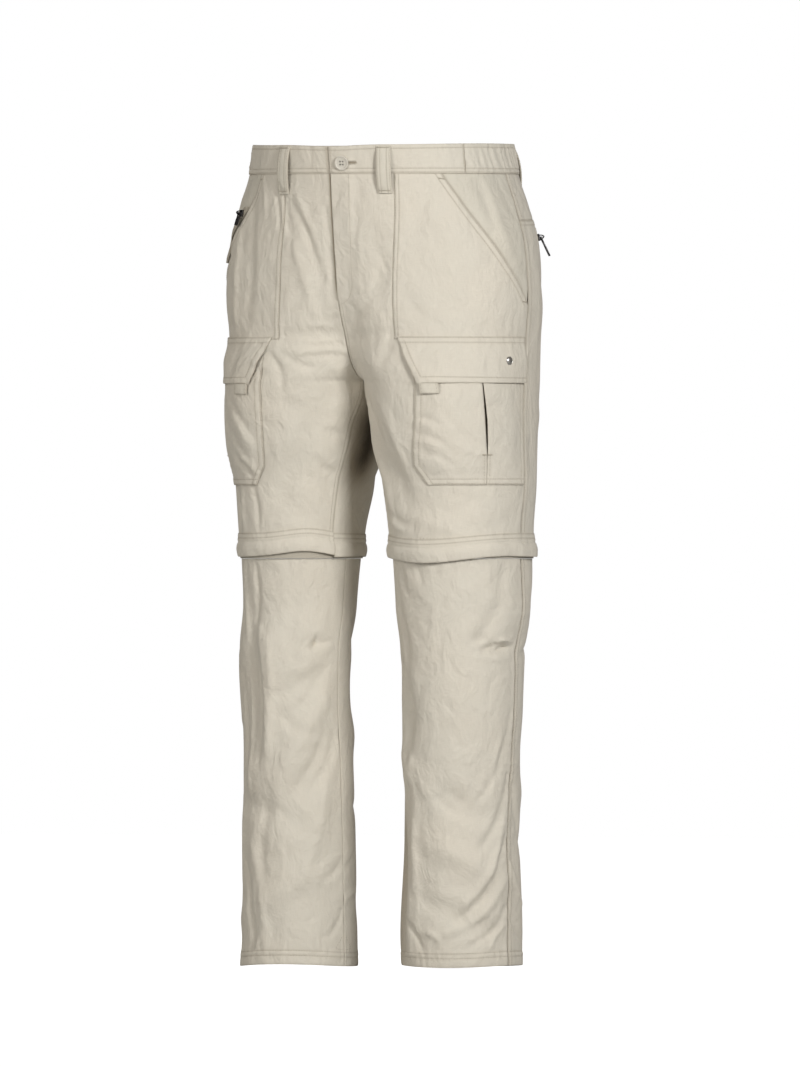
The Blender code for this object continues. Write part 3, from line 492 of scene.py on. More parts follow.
def plain_upper(side: Side, way: Array, level: Array) -> Array:
    """The trousers above the knee with no folds: hips that part into two legs.

    Args:
        side: Which half.
        way: Ways of the places.
        level: Their levels.

    Returns:
        Points in mm.
    """
    down = np.clip((CROTCH_TOP - level) / (CROTCH_TOP - CROTCH), 0, 1)
    at_middle = 1 - np.sqrt(1 - down**2)
    at_side = ramp(-level, *SIDE_BLEND)
    from_end = np.minimum(way, 2 - way)
    middle = np.exp(-((from_end / 0.35) ** 2))
    share = middle * at_middle + (1 - middle) * at_side
    torso_x, torso_y = torso_point(way, level)
    rows = UPPER_LEG[side]
    leg_x, leg_y = leg_point(rows, way, level)
    end_x, _ = leg_point(rows, np.zeros_like(way), level)
    held = at_middle * ramp(level, CROTCH - 60, CROTCH)
    pull = held * end_x * np.exp(-((from_end / END_REACH) ** 2))
    x = (1 - share) * torso_x + share * leg_x - pull
    y = (1 - share) * torso_y + share * leg_y
    return np.stack([x, y, np.broadcast_to(level, x.shape)], axis=-1)


def plain_lower(side: Side, way: Array, level: Array) -> Array:
    """The zip-off leg with no folds."""
    x, y = leg_point(LOWER_LEG[side], way, level)
    return np.stack([x, y, np.broadcast_to(level, x.shape)], axis=-1)


def normals(surface: Callable[[Array, Array], Array], way: Array, level: Array) -> Array:
    """Outward unit directions of a surface given by way and level."""
    dw, dz = 0.006, 1.5
    across = surface(way + dw, level) - surface(way - dw, level)
    down = surface(way, level - dz) - surface(way, level + dz)
    out = np.cross(down, across)
    return out / np.linalg.norm(out, axis=-1, keepdims=True)


def crease_rise(rows: Iterable[Sequence[float]], way: Array, level: Array) -> Array:
    """How far the folds and creases move the cloth outwards.

    Args:
        rows: Rows in the columns of the garment's creases; bow and skew may be left out.
        way: Ways of the places asked for.
        level: Their levels.

    Returns:
        The rise in mm at each place.
    """
    rise = np.zeros(np.broadcast(way, level).shape)
    for row in rows:
        start_way, start_level, end_way, end_level, width, height, bow, skew = (*row, 0.0, 0.0)[:8]
        dx, dz = (end_way - start_way) * WAY_LENGTH, end_level - start_level
        px, pz = (way - start_way) * WAY_LENGTH, level - start_level
        length = math.hypot(dx, dz)
        along = (px * dx + pz * dz) / length**2
        arch = np.sin(math.pi * np.clip(along, 0, 1))
        off = (px * dz - pz * dx) / length - bow * arch
        past = np.maximum(np.maximum(-along, along - 1), 0) * length
        wide = width * np.where(off > 0, 1 + skew, 1.0)
        near = np.exp(-((off / wide) ** 2) - (past / width) ** 2)
        gain = FINE_GAIN if len(row) > MAIN_COLUMNS else 1.0
        rise = rise + gain * height * near * (0.55 + 0.45 * arch)
    return rise


@dataclass(frozen=True)
class Half:
    """One half of the garment, above or below the knee."""

    side: Side
    plain: Callable[[Side, Array, Array], Array]
    creases: tuple[tuple[float, ...], ...]

    def base(self, way: Array, level: Array) -> Array:
        """The half's points with no folds."""
        return self.plain(self.side, way, level)

    def form(self, way: Array, level: Array) -> Array:
        """Points of the cloth's face, folds and all, in left-hand millimetres."""
        raised = crease_rise(self.creases, way, level)[..., None]
        return self.base(way, level) + raised * normals(self.base, way, level)

    def points(self, way: Array, level: Array, *offs: Array) -> list[Array]:
        """Points at some distances off the cloth's face, in the garment's own millimetres.

        Args:
            way: Ways of the places.
            level: Their levels.
            offs: One or more distances off the face.

        Returns:
            One array of points for each distance.
        """
        way, level = np.broadcast_arrays(np.asarray(way, float), np.asarray(level, float))
        form, out = self.form(way, level), normals(self.form, way, level)
        found = []
        for off in offs:
            spot = form + np.broadcast_to(off, way.shape)[..., None] * out
            if self.plain is plain_upper:
                inside = (way >= 0) & (way <= 2)
                spot[..., 0] = np.where(inside, np.maximum(spot[..., 0], HALF_GAP), spot[..., 0])
            spot[..., 0] *= self.side.value
            found.append(spot)
        return found


UPPER = {side: Half(side, plain_upper, UPPER_CREASES[side]) for side in Side}
LOWER = {side: Half(side, plain_lower, LOWER_CREASES[side]) for side in Side}


@dataclass(frozen=True)
class Edge:
    """How one edge of a cut piece is pressed and sewn. Sizes in mm from the edge inwards."""

    stitches: tuple[float, ...] = ()
    rise: float = 0.0
    width: float = 7.6
    dip: float = 0.55
    pucker: float = 0.0
    spread: float = 13.0
    pitch: float = 11.0
    ladder: float = 0.0
    seed: float = 0.0

    def relief(self, inward: Array, along: Array) -> Array:
        """Height of the cloth over its plain form near this edge.

        Args:
            inward: Distance from the edge.
            along: Distance along it.

        Returns:
            The height in mm.
        """
        height = self.rise * (1 - ramp(inward, self.width - 1.0, self.width + 1.2))
        height = height - self.dip * bump(inward, 0, 0.9)
        for stitch in self.stitches:
            height = height - 0.34 * bump(inward, stitch, 0.75)
        if self.pucker:
            reached = np.exp(-((inward / self.spread) ** 2)) * ramp(inward, -1.0, 3.0)
            height = height + self.pucker * reached * waver(along, self.pitch, self.seed)
        if self.ladder and len(self.stitches) > 1:
            middle = (self.stitches[0] + self.stitches[-1]) / 2
            half = (self.stitches[-1] - self.stitches[0]) / 2
            rungs = waver(along + 0.6 * inward, 4.6, self.seed + 1.7)
            height = height + self.ladder * bump(inward, middle, half * 0.75) * rungs
        return height

    def shade(self, inward: Array) -> Array:
        """How deep in its own shadow the cloth lies near this edge, 0 to 1."""
        dark = 0.42 * bump(inward, 0, 0.8) if self.dip else np.zeros_like(inward)
        for stitch in self.stitches:
            dark = np.maximum(dark, 0.34 * bump(inward, stitch, 0.8))
        return dark


NEAR = (0.0, 0.45, 1.1, 1.8, 2.8, 4.2, 5.4, 6.2, 7.0, 8.2, 10.5)
SPARSE = (0.0, 0.6, 1.6, 3.2)
STEP = 3.0


def between(start: float, end: float, near_start: Sequence[float], near_end: Sequence[float],
            step: float = STEP) -> Array:
    """A row of places over one stretch, close together near its two ends."""
    return spread(np.array([[start]]), np.array([[end]]), near_start, near_end, step=step)[0]


def spread(start: Array, end: Array, near_start: Sequence[float], near_end: Sequence[float],
           slope_start: Array | float = 1.0, slope_end: Array | float = 1.0,
           step: float = STEP) -> Array:
    """Lines across a piece, close together near its edges.

    Args:
        start: Places of the first edge, as a column, in mm.
        end: Places of the other edge.
        near_start: Distances of the lines kept near the first edge.
        near_end: Distances of the lines kept near the other edge.
        slope_start: How much further apart the lines stand where the first edge slants.
        slope_end: The same for the other edge.
        step: Usual distance between the lines in the middle.

    Returns:
        A row of places for each row of the edges.
    """
    width = np.abs(end - start)
    sense = np.sign(end - start)
    total = near_start[-1] * slope_start + near_end[-1] * slope_end
    fit = np.minimum(1.0, 0.7 * width / np.maximum(total, 1e-6))
    first = start + sense * fit * slope_start * np.array(near_start)
    last = end - sense * fit * slope_end * np.array(near_end)[::-1]
    cells = max(2, int(np.ceil((width.max() - near_start[-1] - near_end[-1]) / step)))
    share = np.linspace(0, 1, cells + 1)[1:-1]
    middle = first[:, -1:] + (last[:, :1] - first[:, -1:]) * share
    return np.concatenate([first, middle, last], axis=1)


@dataclass(frozen=True)
class Seam:
    """A seam or edge of a piece, along a line of the garment.

    line gives a way for each level where upright, and a level for each way where not. inward is the
    sense in which the piece lies from it, and span the stretch of levels or ways that it runs over.
    """

    edge: Edge
    line: Callable[[Array], Array]
    upright: bool
    inward: int
    span: tuple[float, float]
    fade: float = 3.0

    def slant(self, at: Array) -> Array:
        """How much longer the line is than its run of levels or ways."""
        step = 1.0 if self.upright else 1.0 / WAY_LENGTH
        slope = (self.line(at + step) - self.line(at - step)) / (2 * step)
        slope = slope * (WAY_LENGTH if self.upright else 1 / WAY_LENGTH)
        return np.sqrt(1 + slope**2)

    def measure(self, way: Array, level: Array) -> tuple[Array, Array, Array]:
        """Distance inwards, distance along, and a share that fades out past the seam's ends.

        Args:
            way: Ways of the places.
            level: Their levels.

        Returns:
            The two distances in mm, and the share.
        """
        at, other = (level, way) if self.upright else (way, level)
        unit = WAY_LENGTH if self.upright else 1.0
        slant = self.slant(at)
        inward = self.inward * (other - self.line(at)) * unit / slant
        along = at * (1.0 if self.upright else WAY_LENGTH) * slant
        scale = 1.0 if self.upright else WAY_LENGTH
        low, high = self.span
        share = ramp((at - low) * scale, -self.fade, 0.0) * ramp((high - at) * scale, -self.fade, 0.0)
        return inward, along, share

    def relief(self, way: Array, level: Array) -> Array:
        """Height that this seam gives the cloth."""
        inward, along, share = self.measure(way, level)
        return self.edge.relief(inward, along) * share * ramp(inward, -3.0, -0.5)

    def shade(self, way: Array, level: Array) -> Array:
        """Shadow that this seam gives the cloth."""
        inward, _, share = self.measure(way, level)
        return self.edge.shade(inward) * share

    def runs(self) -> list[Array]:
        """The paths of its stitch lines, as rows of way and level, about 1 mm apart."""
        low, high = self.span
        scale = 1.0 if self.upright else WAY_LENGTH
        at = np.linspace(low, high, max(3, int((high - low) * scale)))
        found = []
        for stitch in self.edge.stitches:
            moved = self.line(at) + self.inward * stitch * self.slant(at) / (
                WAY_LENGTH if self.upright else 1.0)
            found.append(np.stack([moved, at] if self.upright else [at, moved], axis=-1))
        return found


def along_way(value: float) -> Callable[[Array], Array]:
    """A line that keeps one way or level."""
    return lambda at: value + 0.0 * np.asarray(at, float)


def shifted(line: Callable[[Array], Array], by: float) -> Callable[[Array], Array]:
    """A line beside another one."""
    return lambda at: line(at) + by


@dataclass
class Shell:
    """A closed thin shell between two grids of points, in mm."""

    outer: Array
    inner: Array
    flat_place: Array
    # Painted shade of each outer point, 0 to 2: seams, stitch lines, pocket mouths, the thigh gap and other
    # dark places
    sewn: Array
    cells: Array | None = None

    def mesh(self, name: str) -> bpy.types.Mesh:
        """Makes the shell's mesh, with its flat pattern as UV map and its painted shade as an attribute.

        Args:
            name: The mesh's name.

        Returns:
            The mesh, smooth but for its rim.
        """
        rows, columns = self.outer.shape[:2]
        count = rows * columns
        cells = np.ones((rows - 1, columns - 1), bool) if self.cells is None else self.cells
        index = np.arange(count).reshape(rows, columns)
        corners = index[:-1, :-1], index[1:, :-1], index[1:, 1:], index[:-1, 1:]
        faces = [np.stack(corners, -1)[cells]]
        faces.append(faces[0][:, ::-1] + count)
        wide = np.pad(cells, 1)
        beyond = wide[1:-1, :-2], wide[2:, 1:-1], wide[1:-1, 2:], wide[:-2, 1:-1]
        for k in range(4):
            a, b = corners[k], corners[(k + 1) % 4]
            rim = np.stack([b, a, a + count, b + count], -1)
            faces.append(rim[cells & ~beyond[k]])
        quads = np.concatenate(faces)
        points = np.concatenate([self.outer.reshape(-1, 3), self.inner.reshape(-1, 3)]) * MM
        first = points[faces[0]]
        facing = np.cross(first[:, 2] - first[:, 0], first[:, 3] - first[:, 1])
        through = points[faces[0][:, 0]] - points[faces[0][:, 0] + count]
        if float((facing * through).sum()) < 0:
            quads = quads[:, ::-1]
        used, quads = np.unique(quads, return_inverse=True)
        quads = quads.reshape(-1, 4)
        made = bpy.data.meshes.new(name)
        made.from_pydata(points[used].tolist(), [], quads.tolist())
        flat_place = np.concatenate([self.flat_place.reshape(-1, 2)] * 2)[used] * MM
        uv = made.uv_layers.new(name="flat")
        uv.data.foreach_set("uv", flat_place[quads.reshape(-1)].reshape(-1))
        # The inner face is given a fixed painted shade of 0.55
        sewn = np.concatenate([self.sewn.reshape(-1), 0.55 + 0 * self.sewn.reshape(-1)])[used]
        shaded = made.attributes.new("shaded", "FLOAT", "POINT")
        shaded.data.foreach_set("value", sewn.astype(np.float32))
        made.shade_smooth()
        made.set_sharp_from_angle(angle=math.radians(62))
        return made


@dataclass(frozen=True)
class Thread:
    """Rows of stitches: one stitch is modelled, and its shape is laid along each run."""

    length: float = 2.5
    gap: float = 0.9
    thick: float = 0.62

    @cache
    def shape(self) -> tuple[Array, list[tuple[int, ...]]]:
        """One stitch: a short bar pinched at both ends, along x, 1 long, 1 wide and 1 tall.

        Returns:
            Its points and faces.
        """
        bpy.ops.mesh.primitive_cylinder_add(vertices=6, radius=0.5, depth=1.0, end_fill_type="TRIFAN",
                                            rotation=(0, math.pi / 2, 0))
        bar = bpy.context.object
        bpy.ops.object.transform_apply(location=False, rotation=True, scale=False)
        points = np.array([v.co for v in bar.data.vertices])
        ring = np.hypot(points[:, 1], points[:, 2]) > 0.1
        points[ring, 0] *= 0.62
        points[:, 2] *= 0.8
        faces = [tuple(face.vertices) for face in bar.data.polygons]
        bpy.data.objects.remove(bar, do_unlink=True)
        return points, faces


@dataclass
class Sewing:
    """Gathers the stitches of one piece and makes them one mesh."""

    thread: Thread = field(default_factory=Thread)
    spots: list[Array] = field(default_factory=list)

    def along(self, points: Array, out: Array) -> None:
        """Lays stitches along a path.

        Args:
            points: Points of the path in mm, close together.
            out: Outward directions there.
        """
        steps = np.linalg.norm(np.diff(points, axis=0), axis=1)
        run = np.concatenate([[0.0], np.cumsum(steps)])
        pitch = self.thread.length + self.thread.gap
        count = int(run[-1] / pitch)
        if count < 1:
            return
        starts = (np.arange(count) + 0.5) * run[-1] / count
        for way_along in starts:
            ends = [way_along - self.thread.length / 2, way_along + self.thread.length / 2]
            tips = np.array([[np.interp(end, run, points[:, k]) for k in range(3)] for end in ends])
            face = np.array([np.interp(way_along, run, out[:, k]) for k in range(3)])
            self.bar(tips[0], tips[1], face)

    def bar(self, start: Array, end: Array, out: Array) -> None:
        """One stitch from a point to a point, lying on a face that looks along out.

        Args:
            start: Where it comes up.
            end: Where it goes down.
            out: Where its face looks.
        """
        along = end - start
        length = float(np.linalg.norm(along))
        if length < 1e-6:
            return
        along = along / length
        side = np.cross(out, along)
        side = side / np.linalg.norm(side)
        up = np.cross(along, side)
        self.spots.append(np.stack([along * length, side, up, (start + end) / 2]))

    def make(self, name: str, finish: "Finish") -> bpy.types.Object | None:
        """Makes the stitches' mesh, or nothing where there are none.

        Args:
            name: The piece's name.
            finish: The thread's finish.

        Returns:
            The piece, or None.
        """
        if not self.spots:
            return None
        shape, shape_faces = self.thread.shape()
        axes = np.array(self.spots)
        thick = self.thread.thick
        made = copies(name, shape * np.array([1.0, thick, thick]), shape_faces, axes[:, :3], axes[:, 3])
        made.shade_smooth()
        return dress(name, made, finish)


def copies(name: str, shape: Array, faces: Sequence[Sequence[int]], axes: Array,
           places: Array) -> bpy.types.Mesh:
    """One mesh with a copy of a small shape at each of many places.

    Args:
        name: The mesh's name.
        shape: The shape's points in mm.
        faces: Its faces, as numbers of those points.
        axes: Three axes for each copy.
        places: The copies' places in mm.

    Returns:
        The mesh, with flat faces.
    """
    points = np.einsum("pk,nkc->npc", shape, axes) + places[:, None]
    count = len(shape)
    all_faces = [tuple(v + n * count for v in face) for n in range(len(axes)) for face in faces]
    made = bpy.data.meshes.new(name)
    made.from_pydata((points.reshape(-1, 3) * MM).tolist(), [], all_faces)
    return made


Tree = bpy.types.NodeTree
Socket = bpy.types.NodeSocket
Colour = tuple[float, float, float]


def node(tree: Tree, kind: str, **values: object) -> bpy.types.Node:
    """Adds a node and sets its properties and, by name or number, its inputs.

    Args:
        tree: The material's or the group's tree.
        kind: The node's type, without its prefix.
        values: Properties by name, and "at" for a dict of inputs.

    Returns:
        The node.
    """
    made = tree.nodes.new("ShaderNode" + kind)
    for key, value in values.items():
        if key != "at":
            setattr(made, key, value)
    for key, value in dict(values.get("at", {})).items():
        if isinstance(value, bpy.types.NodeSocket):
            tree.links.new(value, made.inputs[key])
        else:
            made.inputs[key].default_value = value
    return made


def maths(tree: Tree, operation: str, *inputs: object) -> Socket:
    """The output of a Math node with these inputs."""
    return node(tree, "Math", operation=operation, at=dict(enumerate(inputs))).outputs[0]


def mixed(tree: Tree, share: object, first: object, second: object) -> Socket:
    """The colour between two colours, at a share.

    Args:
        tree: The node tree.
        share: Share of the second colour, as a value or a socket.
        first: First colour or socket.
        second: Second colour or socket.

    Returns:
        The mixed colour's socket.
    """
    made = node(tree, "Mix", data_type="RGBA")
    for socket, value in ((made.inputs[0], share), (made.inputs[6], first), (made.inputs[7], second)):
        if isinstance(value, bpy.types.NodeSocket):
            tree.links.new(value, socket)
        else:
            socket.default_value = (*value, 1.0) if isinstance(value, tuple) else value
    return made.outputs[2]


def spread_between(tree: Tree, value: Socket, low: float, high: float, to_low: float,
                   to_high: float) -> Socket:
    """A value moved from one stretch of numbers to another and kept inside it."""
    return node(tree, "MapRange", at={0: value, 1: low, 2: high, 3: to_low, 4: to_high}).outputs[0]


def new_group(name: str, inputs: dict[str, str],
              outputs: dict[str, str]) -> tuple[Tree, Socket, bpy.types.Node]:
    """Starts a shader node group.

    Args:
        name: The group's name.
        inputs: Socket types of its inputs, by name.
        outputs: Socket types of its outputs, by name.

    Returns:
        The tree, its input node's outputs and its output node.
    """
    tree = bpy.data.node_groups.new(name, "ShaderNodeTree")
    for key, kind in inputs.items():
        tree.interface.new_socket(key, in_out="INPUT", socket_type="NodeSocket" + kind)
    for key, kind in outputs.items():
        tree.interface.new_socket(key, in_out="OUTPUT", socket_type="NodeSocket" + kind)
    start = tree.nodes.new("NodeGroupInput")
    return tree, start.outputs, tree.nodes.new("NodeGroupOutput")


def weave_group() -> Tree:
    """Plain weave seen close by, with the uneven yarns that show from further off."""
    found = bpy.data.node_groups.get("plain weave")
    if found:
        return found
    tree, start, end = new_group("plain weave", {"Place": "Vector", "Yarns": "Float"},
                                 {"Height": "Float", "Yarn Tone": "Float"})
    apart = node(tree, "SeparateXYZ", at={0: start["Place"]})
    turns = maths(tree, "MULTIPLY", start["Yarns"], math.pi)
    warp = maths(tree, "SINE", maths(tree, "MULTIPLY", apart.outputs[0], turns))
    weft = maths(tree, "SINE", maths(tree, "MULTIPLY", apart.outputs[1], turns))
    over = maths(tree, "GREATER_THAN", maths(tree, "MULTIPLY", warp, weft), 0.0)
    first, second = maths(tree, "ABSOLUTE", warp), maths(tree, "ABSOLUTE", weft)
    gap = maths(tree, "SUBTRACT", first, second)
    tree.links.new(maths(tree, "MULTIPLY_ADD", gap, over, second), end.inputs["Height"])
    tones = []
    for scale in ((2600.0, 90.0, 1.0), (90.0, 2200.0, 1.0)):
        place = node(tree, "Mapping", at={0: start["Place"], 3: scale})
        tones.append(node(tree, "TexNoise", at={0: place.outputs[0], "Scale": 1.0, "Detail": 2.0}).outputs[0])
    both = maths(tree, "MULTIPLY", maths(tree, "ADD", tones[0], tones[1]), 0.5)
    tree.links.new(both, end.inputs["Yarn Tone"])
    return tree


def crumple_group() -> Tree:
    """Small soft creases and slight unevenness of dye, as worn light cloth has."""
    found = bpy.data.node_groups.get("soft crumple")
    if found:
        return found
    tree, start, end = new_group("soft crumple", {"Place": "Vector"}, {"Height": "Float", "Tone": "Float"})
    warped = node(tree, "TexNoise", at={0: start["Place"], "Scale": 16.0, "Detail": 2.0})
    bent = node(tree, "VectorMath", operation="MULTIPLY_ADD",
                at={0: warped.outputs["Color"], 1: (0.05, 0.05, 0.05), 2: start["Place"]})
    stretched = node(tree, "Mapping", at={0: bent.outputs[0], 2: (0.0, 0.35, 0.0), 3: (1.0, 1.0, 0.6)})
    large = node(tree, "TexNoise",
                 at={0: stretched.outputs[0], "Scale": 38.0, "Detail": 4.0, "Roughness": 0.5})
    fold = node(tree, "TexNoise", noise_type="RIDGED_MULTIFRACTAL",
                at={0: stretched.outputs[0], "Scale": 26.0, "Detail": 2.0, "Roughness": 0.35})
    height = maths(tree, "MULTIPLY_ADD", fold.outputs[0], 0.12, large.outputs[0])
    tree.links.new(height, end.inputs["Height"])
    stain = node(tree, "TexNoise", at={0: start["Place"], "Scale": 9.0, "Detail": 4.0, "Roughness": 0.6})
    tree.links.new(stain.outputs[0], end.inputs["Tone"])
    return tree


def wear_group() -> Tree:
    """Scratches and rubbed spots on small hard pieces."""
    found = bpy.data.node_groups.get("rubbed spots")
    if found:
        return found
    tree, start, end = new_group("rubbed spots", {"Place": "Vector"}, {"Mask": "Float", "Height": "Float"})
    spots = node(tree, "TexNoise", at={0: start["Place"], "Scale": 700.0, "Detail": 5.0, "Roughness": 0.7})
    tree.links.new(spread_between(tree, spots.outputs[0], 0.52, 0.68, 0.0, 1.0), end.inputs["Mask"])
    scratch = node(tree, "Mapping", at={0: start["Place"], 3: (900.0, 120.0, 900.0)})
    lines = node(tree, "TexNoise", at={0: scratch.outputs[0], "Scale": 3.0, "Detail": 3.0})
    tree.links.new(lines.outputs[0], end.inputs["Height"])
    return tree


@dataclass(frozen=True)
class Finish:
    """A finish that pieces are given, and the record's slot that it stands for."""

    name: str
    slot: Slot
    colour: Colour
    roughness: float = 0.7

    def start(self) -> tuple[bpy.types.Material, Tree, bpy.types.Node]:
        """A new material with its tree and its shader."""
        made = bpy.data.materials.new(self.name)
        made.use_nodes = True
        tree = made.node_tree
        shader = tree.nodes["Principled BSDF"]
        shader.inputs["Roughness"].default_value = self.roughness
        return made, tree, shader

    def paint(self, tree: Tree, shader: bpy.types.Node) -> None:
        """Adds what varies over the surface."""
        shader.inputs["Base Color"].default_value = (*self.colour, 1.0)

    def material(self) -> bpy.types.Material:
        """The finish's material, made once."""
        found = bpy.data.materials.get(self.name)
        if found:
            return found
        made, tree, shader = self.start()
        self.paint(tree, shader)
        return made


@dataclass(frozen=True)
class ClothFinish(Finish):
    """Finely woven light cloth with a faint sheen."""

    # Painted shade colours: the shaded attribute darkens the cloth towards shadow, and past 1 towards deep
    shadow: Colour = (0.30, 0.25, 0.18)
    deep: Colour = (0.10, 0.078, 0.052)
    yarns: float = 2100.0
    weave: float = 0.32
    crumple: float = 0.78
    sheen: float = 0.12
    flat_map: bool = True

    def paint(self, tree: Tree, shader: bpy.types.Node) -> None:
        """Weave, uneven yarns, small creases, and the painted shade of seams and other dark places, from the
        shaded attribute.

        Args:
            tree: The material's node tree.
            shader: Its Principled BSDF.
        """
        shader.inputs["Specular IOR Level"].default_value = 0.22
        shader.inputs["Sheen Weight"].default_value = self.sheen
        shader.inputs["Sheen Roughness"].default_value = 0.45
        own = node(tree, "UVMap", uv_map="flat").outputs[0]
        around = node(tree, "TexCoord").outputs["Object"]
        place = own if self.flat_map else around
        weave = node(tree, "Group", node_tree=weave_group(), at={"Place": place, "Yarns": self.yarns})
        crumple = node(tree, "Group", node_tree=crumple_group(), at={"Place": around})
        lighter = tuple(min(1.0, 1.045 * part) for part in self.colour)
        darker = tuple(0.935 * part for part in self.colour)
        tone = spread_between(tree, weave.outputs["Yarn Tone"], 0.36, 0.64, 0.0, 1.0)
        colour = mixed(tree, tone, darker, lighter)
        cool = (0.965 * self.colour[0], 0.985 * self.colour[1], 1.0 * self.colour[2])
        patch = spread_between(tree, crumple.outputs["Tone"], 0.35, 0.65, 0.0, 0.6)
        colour = mixed(tree, patch, colour, cool)
        # Painted shade: the shaded attribute mixes the colour towards the shadow colour, then towards the
        # deep one
        shaded = node(tree, "Attribute", attribute_name="shaded").outputs["Fac"]
        colour = mixed(tree, spread_between(tree, shaded, 0.0, 1.0, 0.0, 0.8), colour, self.shadow)
        colour = mixed(tree, spread_between(tree, shaded, 1.0, 2.0, 0.0, 1.0), colour, self.deep)
        tree.links.new(colour, shader.inputs["Base Color"])
        rough = spread_between(tree, weave.outputs["Yarn Tone"], 0.3, 0.7, self.roughness - 0.06,
                               self.roughness + 0.06)
        tree.links.new(rough, shader.inputs["Roughness"])
        soft = node(tree, "Bump", at={"Strength": self.crumple, "Distance": 0.0075,
                                      "Height": crumple.outputs["Height"]})
        fine = node(tree, "Bump", at={"Strength": self.weave, "Distance": 0.00025,
                                      "Height": weave.outputs["Height"], "Normal": soft.outputs[0]})
        tree.links.new(fine.outputs[0], shader.inputs["Normal"])


@dataclass(frozen=True)
class ThreadFinish(Finish):
    """Sewing thread, a little darker than the cloth."""

    def paint(self, tree: Tree, shader: bpy.types.Node) -> None:
        """Twist of the thread as light and dark specks.

        Args:
            tree: The material's node tree.
            shader: Its Principled BSDF.
        """
        shader.inputs["Specular IOR Level"].default_value = 0.35
        around = node(tree, "TexCoord").outputs["Object"]
        twist = node(tree, "TexNoise", at={0: around, "Scale": 900.0, "Detail": 2.0})
        darker = tuple(0.8 * part for part in self.colour)
        share = spread_between(tree, twist.outputs[0], 0.4, 0.6, 0.0, 1.0)
        tree.links.new(mixed(tree, share, darker, self.colour), shader.inputs["Base Color"])
        bump = node(tree, "Bump", at={"Strength": 0.5, "Distance": 0.0002, "Height": twist.outputs[0]})
        tree.links.new(bump.outputs[0], shader.inputs["Normal"])


@dataclass(frozen=True)
class HardFinish(Finish):
    """Metal or moulded plastic, rubbed on its faces."""

    rubbed: Colour = (0.4, 0.4, 0.4)
    metallic: float = 0.0
    wear: float = 0.5

    def paint(self, tree: Tree, shader: bpy.types.Node) -> None:
        """Rubbed spots lighten it and scratches break up its gloss.

        Args:
            tree: The material's node tree.
            shader: Its Principled BSDF.
        """
        shader.inputs["Metallic"].default_value = self.metallic
        around = node(tree, "TexCoord").outputs["Object"]
        worn = node(tree, "Group", node_tree=wear_group(), at={"Place": around})
        share = maths(tree, "MULTIPLY", worn.outputs["Mask"], self.wear)
        tree.links.new(mixed(tree, share, self.colour, self.rubbed), shader.inputs["Base Color"])
        rough = spread_between(tree, worn.outputs["Height"], 0.3, 0.7, self.roughness * 0.8,
                               min(1.0, self.roughness * 1.25))
        tree.links.new(rough, shader.inputs["Roughness"])
        bump = node(tree, "Bump", at={"Strength": 0.12, "Distance": 0.0002, "Height": worn.outputs["Height"]})
        tree.links.new(bump.outputs[0], shader.inputs["Normal"])


STONE = (0.672, 0.622, 0.530)
CLOTH = ClothFinish("light stone cloth", Slot.CLOTH, STONE, 0.74)
TRIM = ClothFinish("folded strip cloth", Slot.TRIM, (0.650, 0.606, 0.514), 0.72, crumple=0.4)
FACING = ClothFinish("inner facing cloth", Slot.CLOTH, (0.630, 0.587, 0.497), 0.76)
TAPE = ClothFinish("zip tape", Slot.ZIP, (0.50, 0.455, 0.375), 0.8, yarns=1500.0, weave=0.6, crumple=0.1)
# The thread is darker than the cloth, partly its own colour and partly painted shade of the stitch grooves
SEWING = ThreadFinish("sewing thread", Slot.CLOTH, (0.50, 0.45, 0.365), 0.6)
# Near-black thread that fills the button's holes: partly real thread, partly painted shade of the holes
HOLE_SHADE_THREAD = ThreadFinish("button thread", Slot.BUTTON, (0.035, 0.028, 0.022), 0.6)
COIL = HardFinish("moulded coil", Slot.ZIP, (0.43, 0.39, 0.32), 0.42, rubbed=(0.55, 0.5, 0.42), wear=0.4)
DARK_METAL = HardFinish("dark lacquered metal", Slot.METAL, (0.016, 0.015, 0.016), 0.34,
                        rubbed=(0.16, 0.15, 0.145), metallic=0.75, wear=0.55)
PALE_METAL = HardFinish("brushed pale metal", Slot.STUD, (0.56, 0.545, 0.52), 0.3,
                        rubbed=(0.75, 0.73, 0.70), metallic=1.0, wear=0.4)
MOULDED = HardFinish("pale moulded button", Slot.BUTTON, (0.60, 0.565, 0.49), 0.36,
                     rubbed=(0.68, 0.64, 0.57), wear=0.5)


def dress(name: str, mesh: bpy.types.Mesh, finish: Finish, body: str = "trousers") -> bpy.types.Object:
    """Puts a mesh in the scene as a finished piece that rides on a body.

    Args:
        name: The piece's name.
        mesh: Its mesh, in place.
        finish: Its finish.
        body: The body that it moves with.

    Returns:
        The piece.
    """
    obj = bpy.data.objects.new(name, mesh)
    bpy.context.scene.collection.objects.link(obj)
    return dress_object(obj, finish, body)


def dress_object(obj: bpy.types.Object, finish: Finish, body: str = "trousers") -> bpy.types.Object:
    """Gives an object its finish and body."""
    obj.data.materials.clear()
    obj.data.materials.append(finish.material())
    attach(obj, body)
    return obj


def level_at(value: float) -> Rise:
    """A rise that is the same everywhere."""
    return lambda way, level: value + 0.0 * (way + level)


def princess(side: Side) -> Callable[[Array], Array]:
    """The princess seam's way at a level."""
    return lambda level: column(PRINCESS[side], "way", np.asarray(level, float))


def slant_way(side: Side) -> Callable[[Array], Array]:
    """Where the slanted hand pocket mouth stands at a level."""
    start, bow = SLANTS[side]
    return lambda level: start + (1 - start) * np.clip(
        (BAND_BOTTOM - np.asarray(level, float)) / (BAND_BOTTOM - SLANT_BOTTOM), 0, 1) ** bow


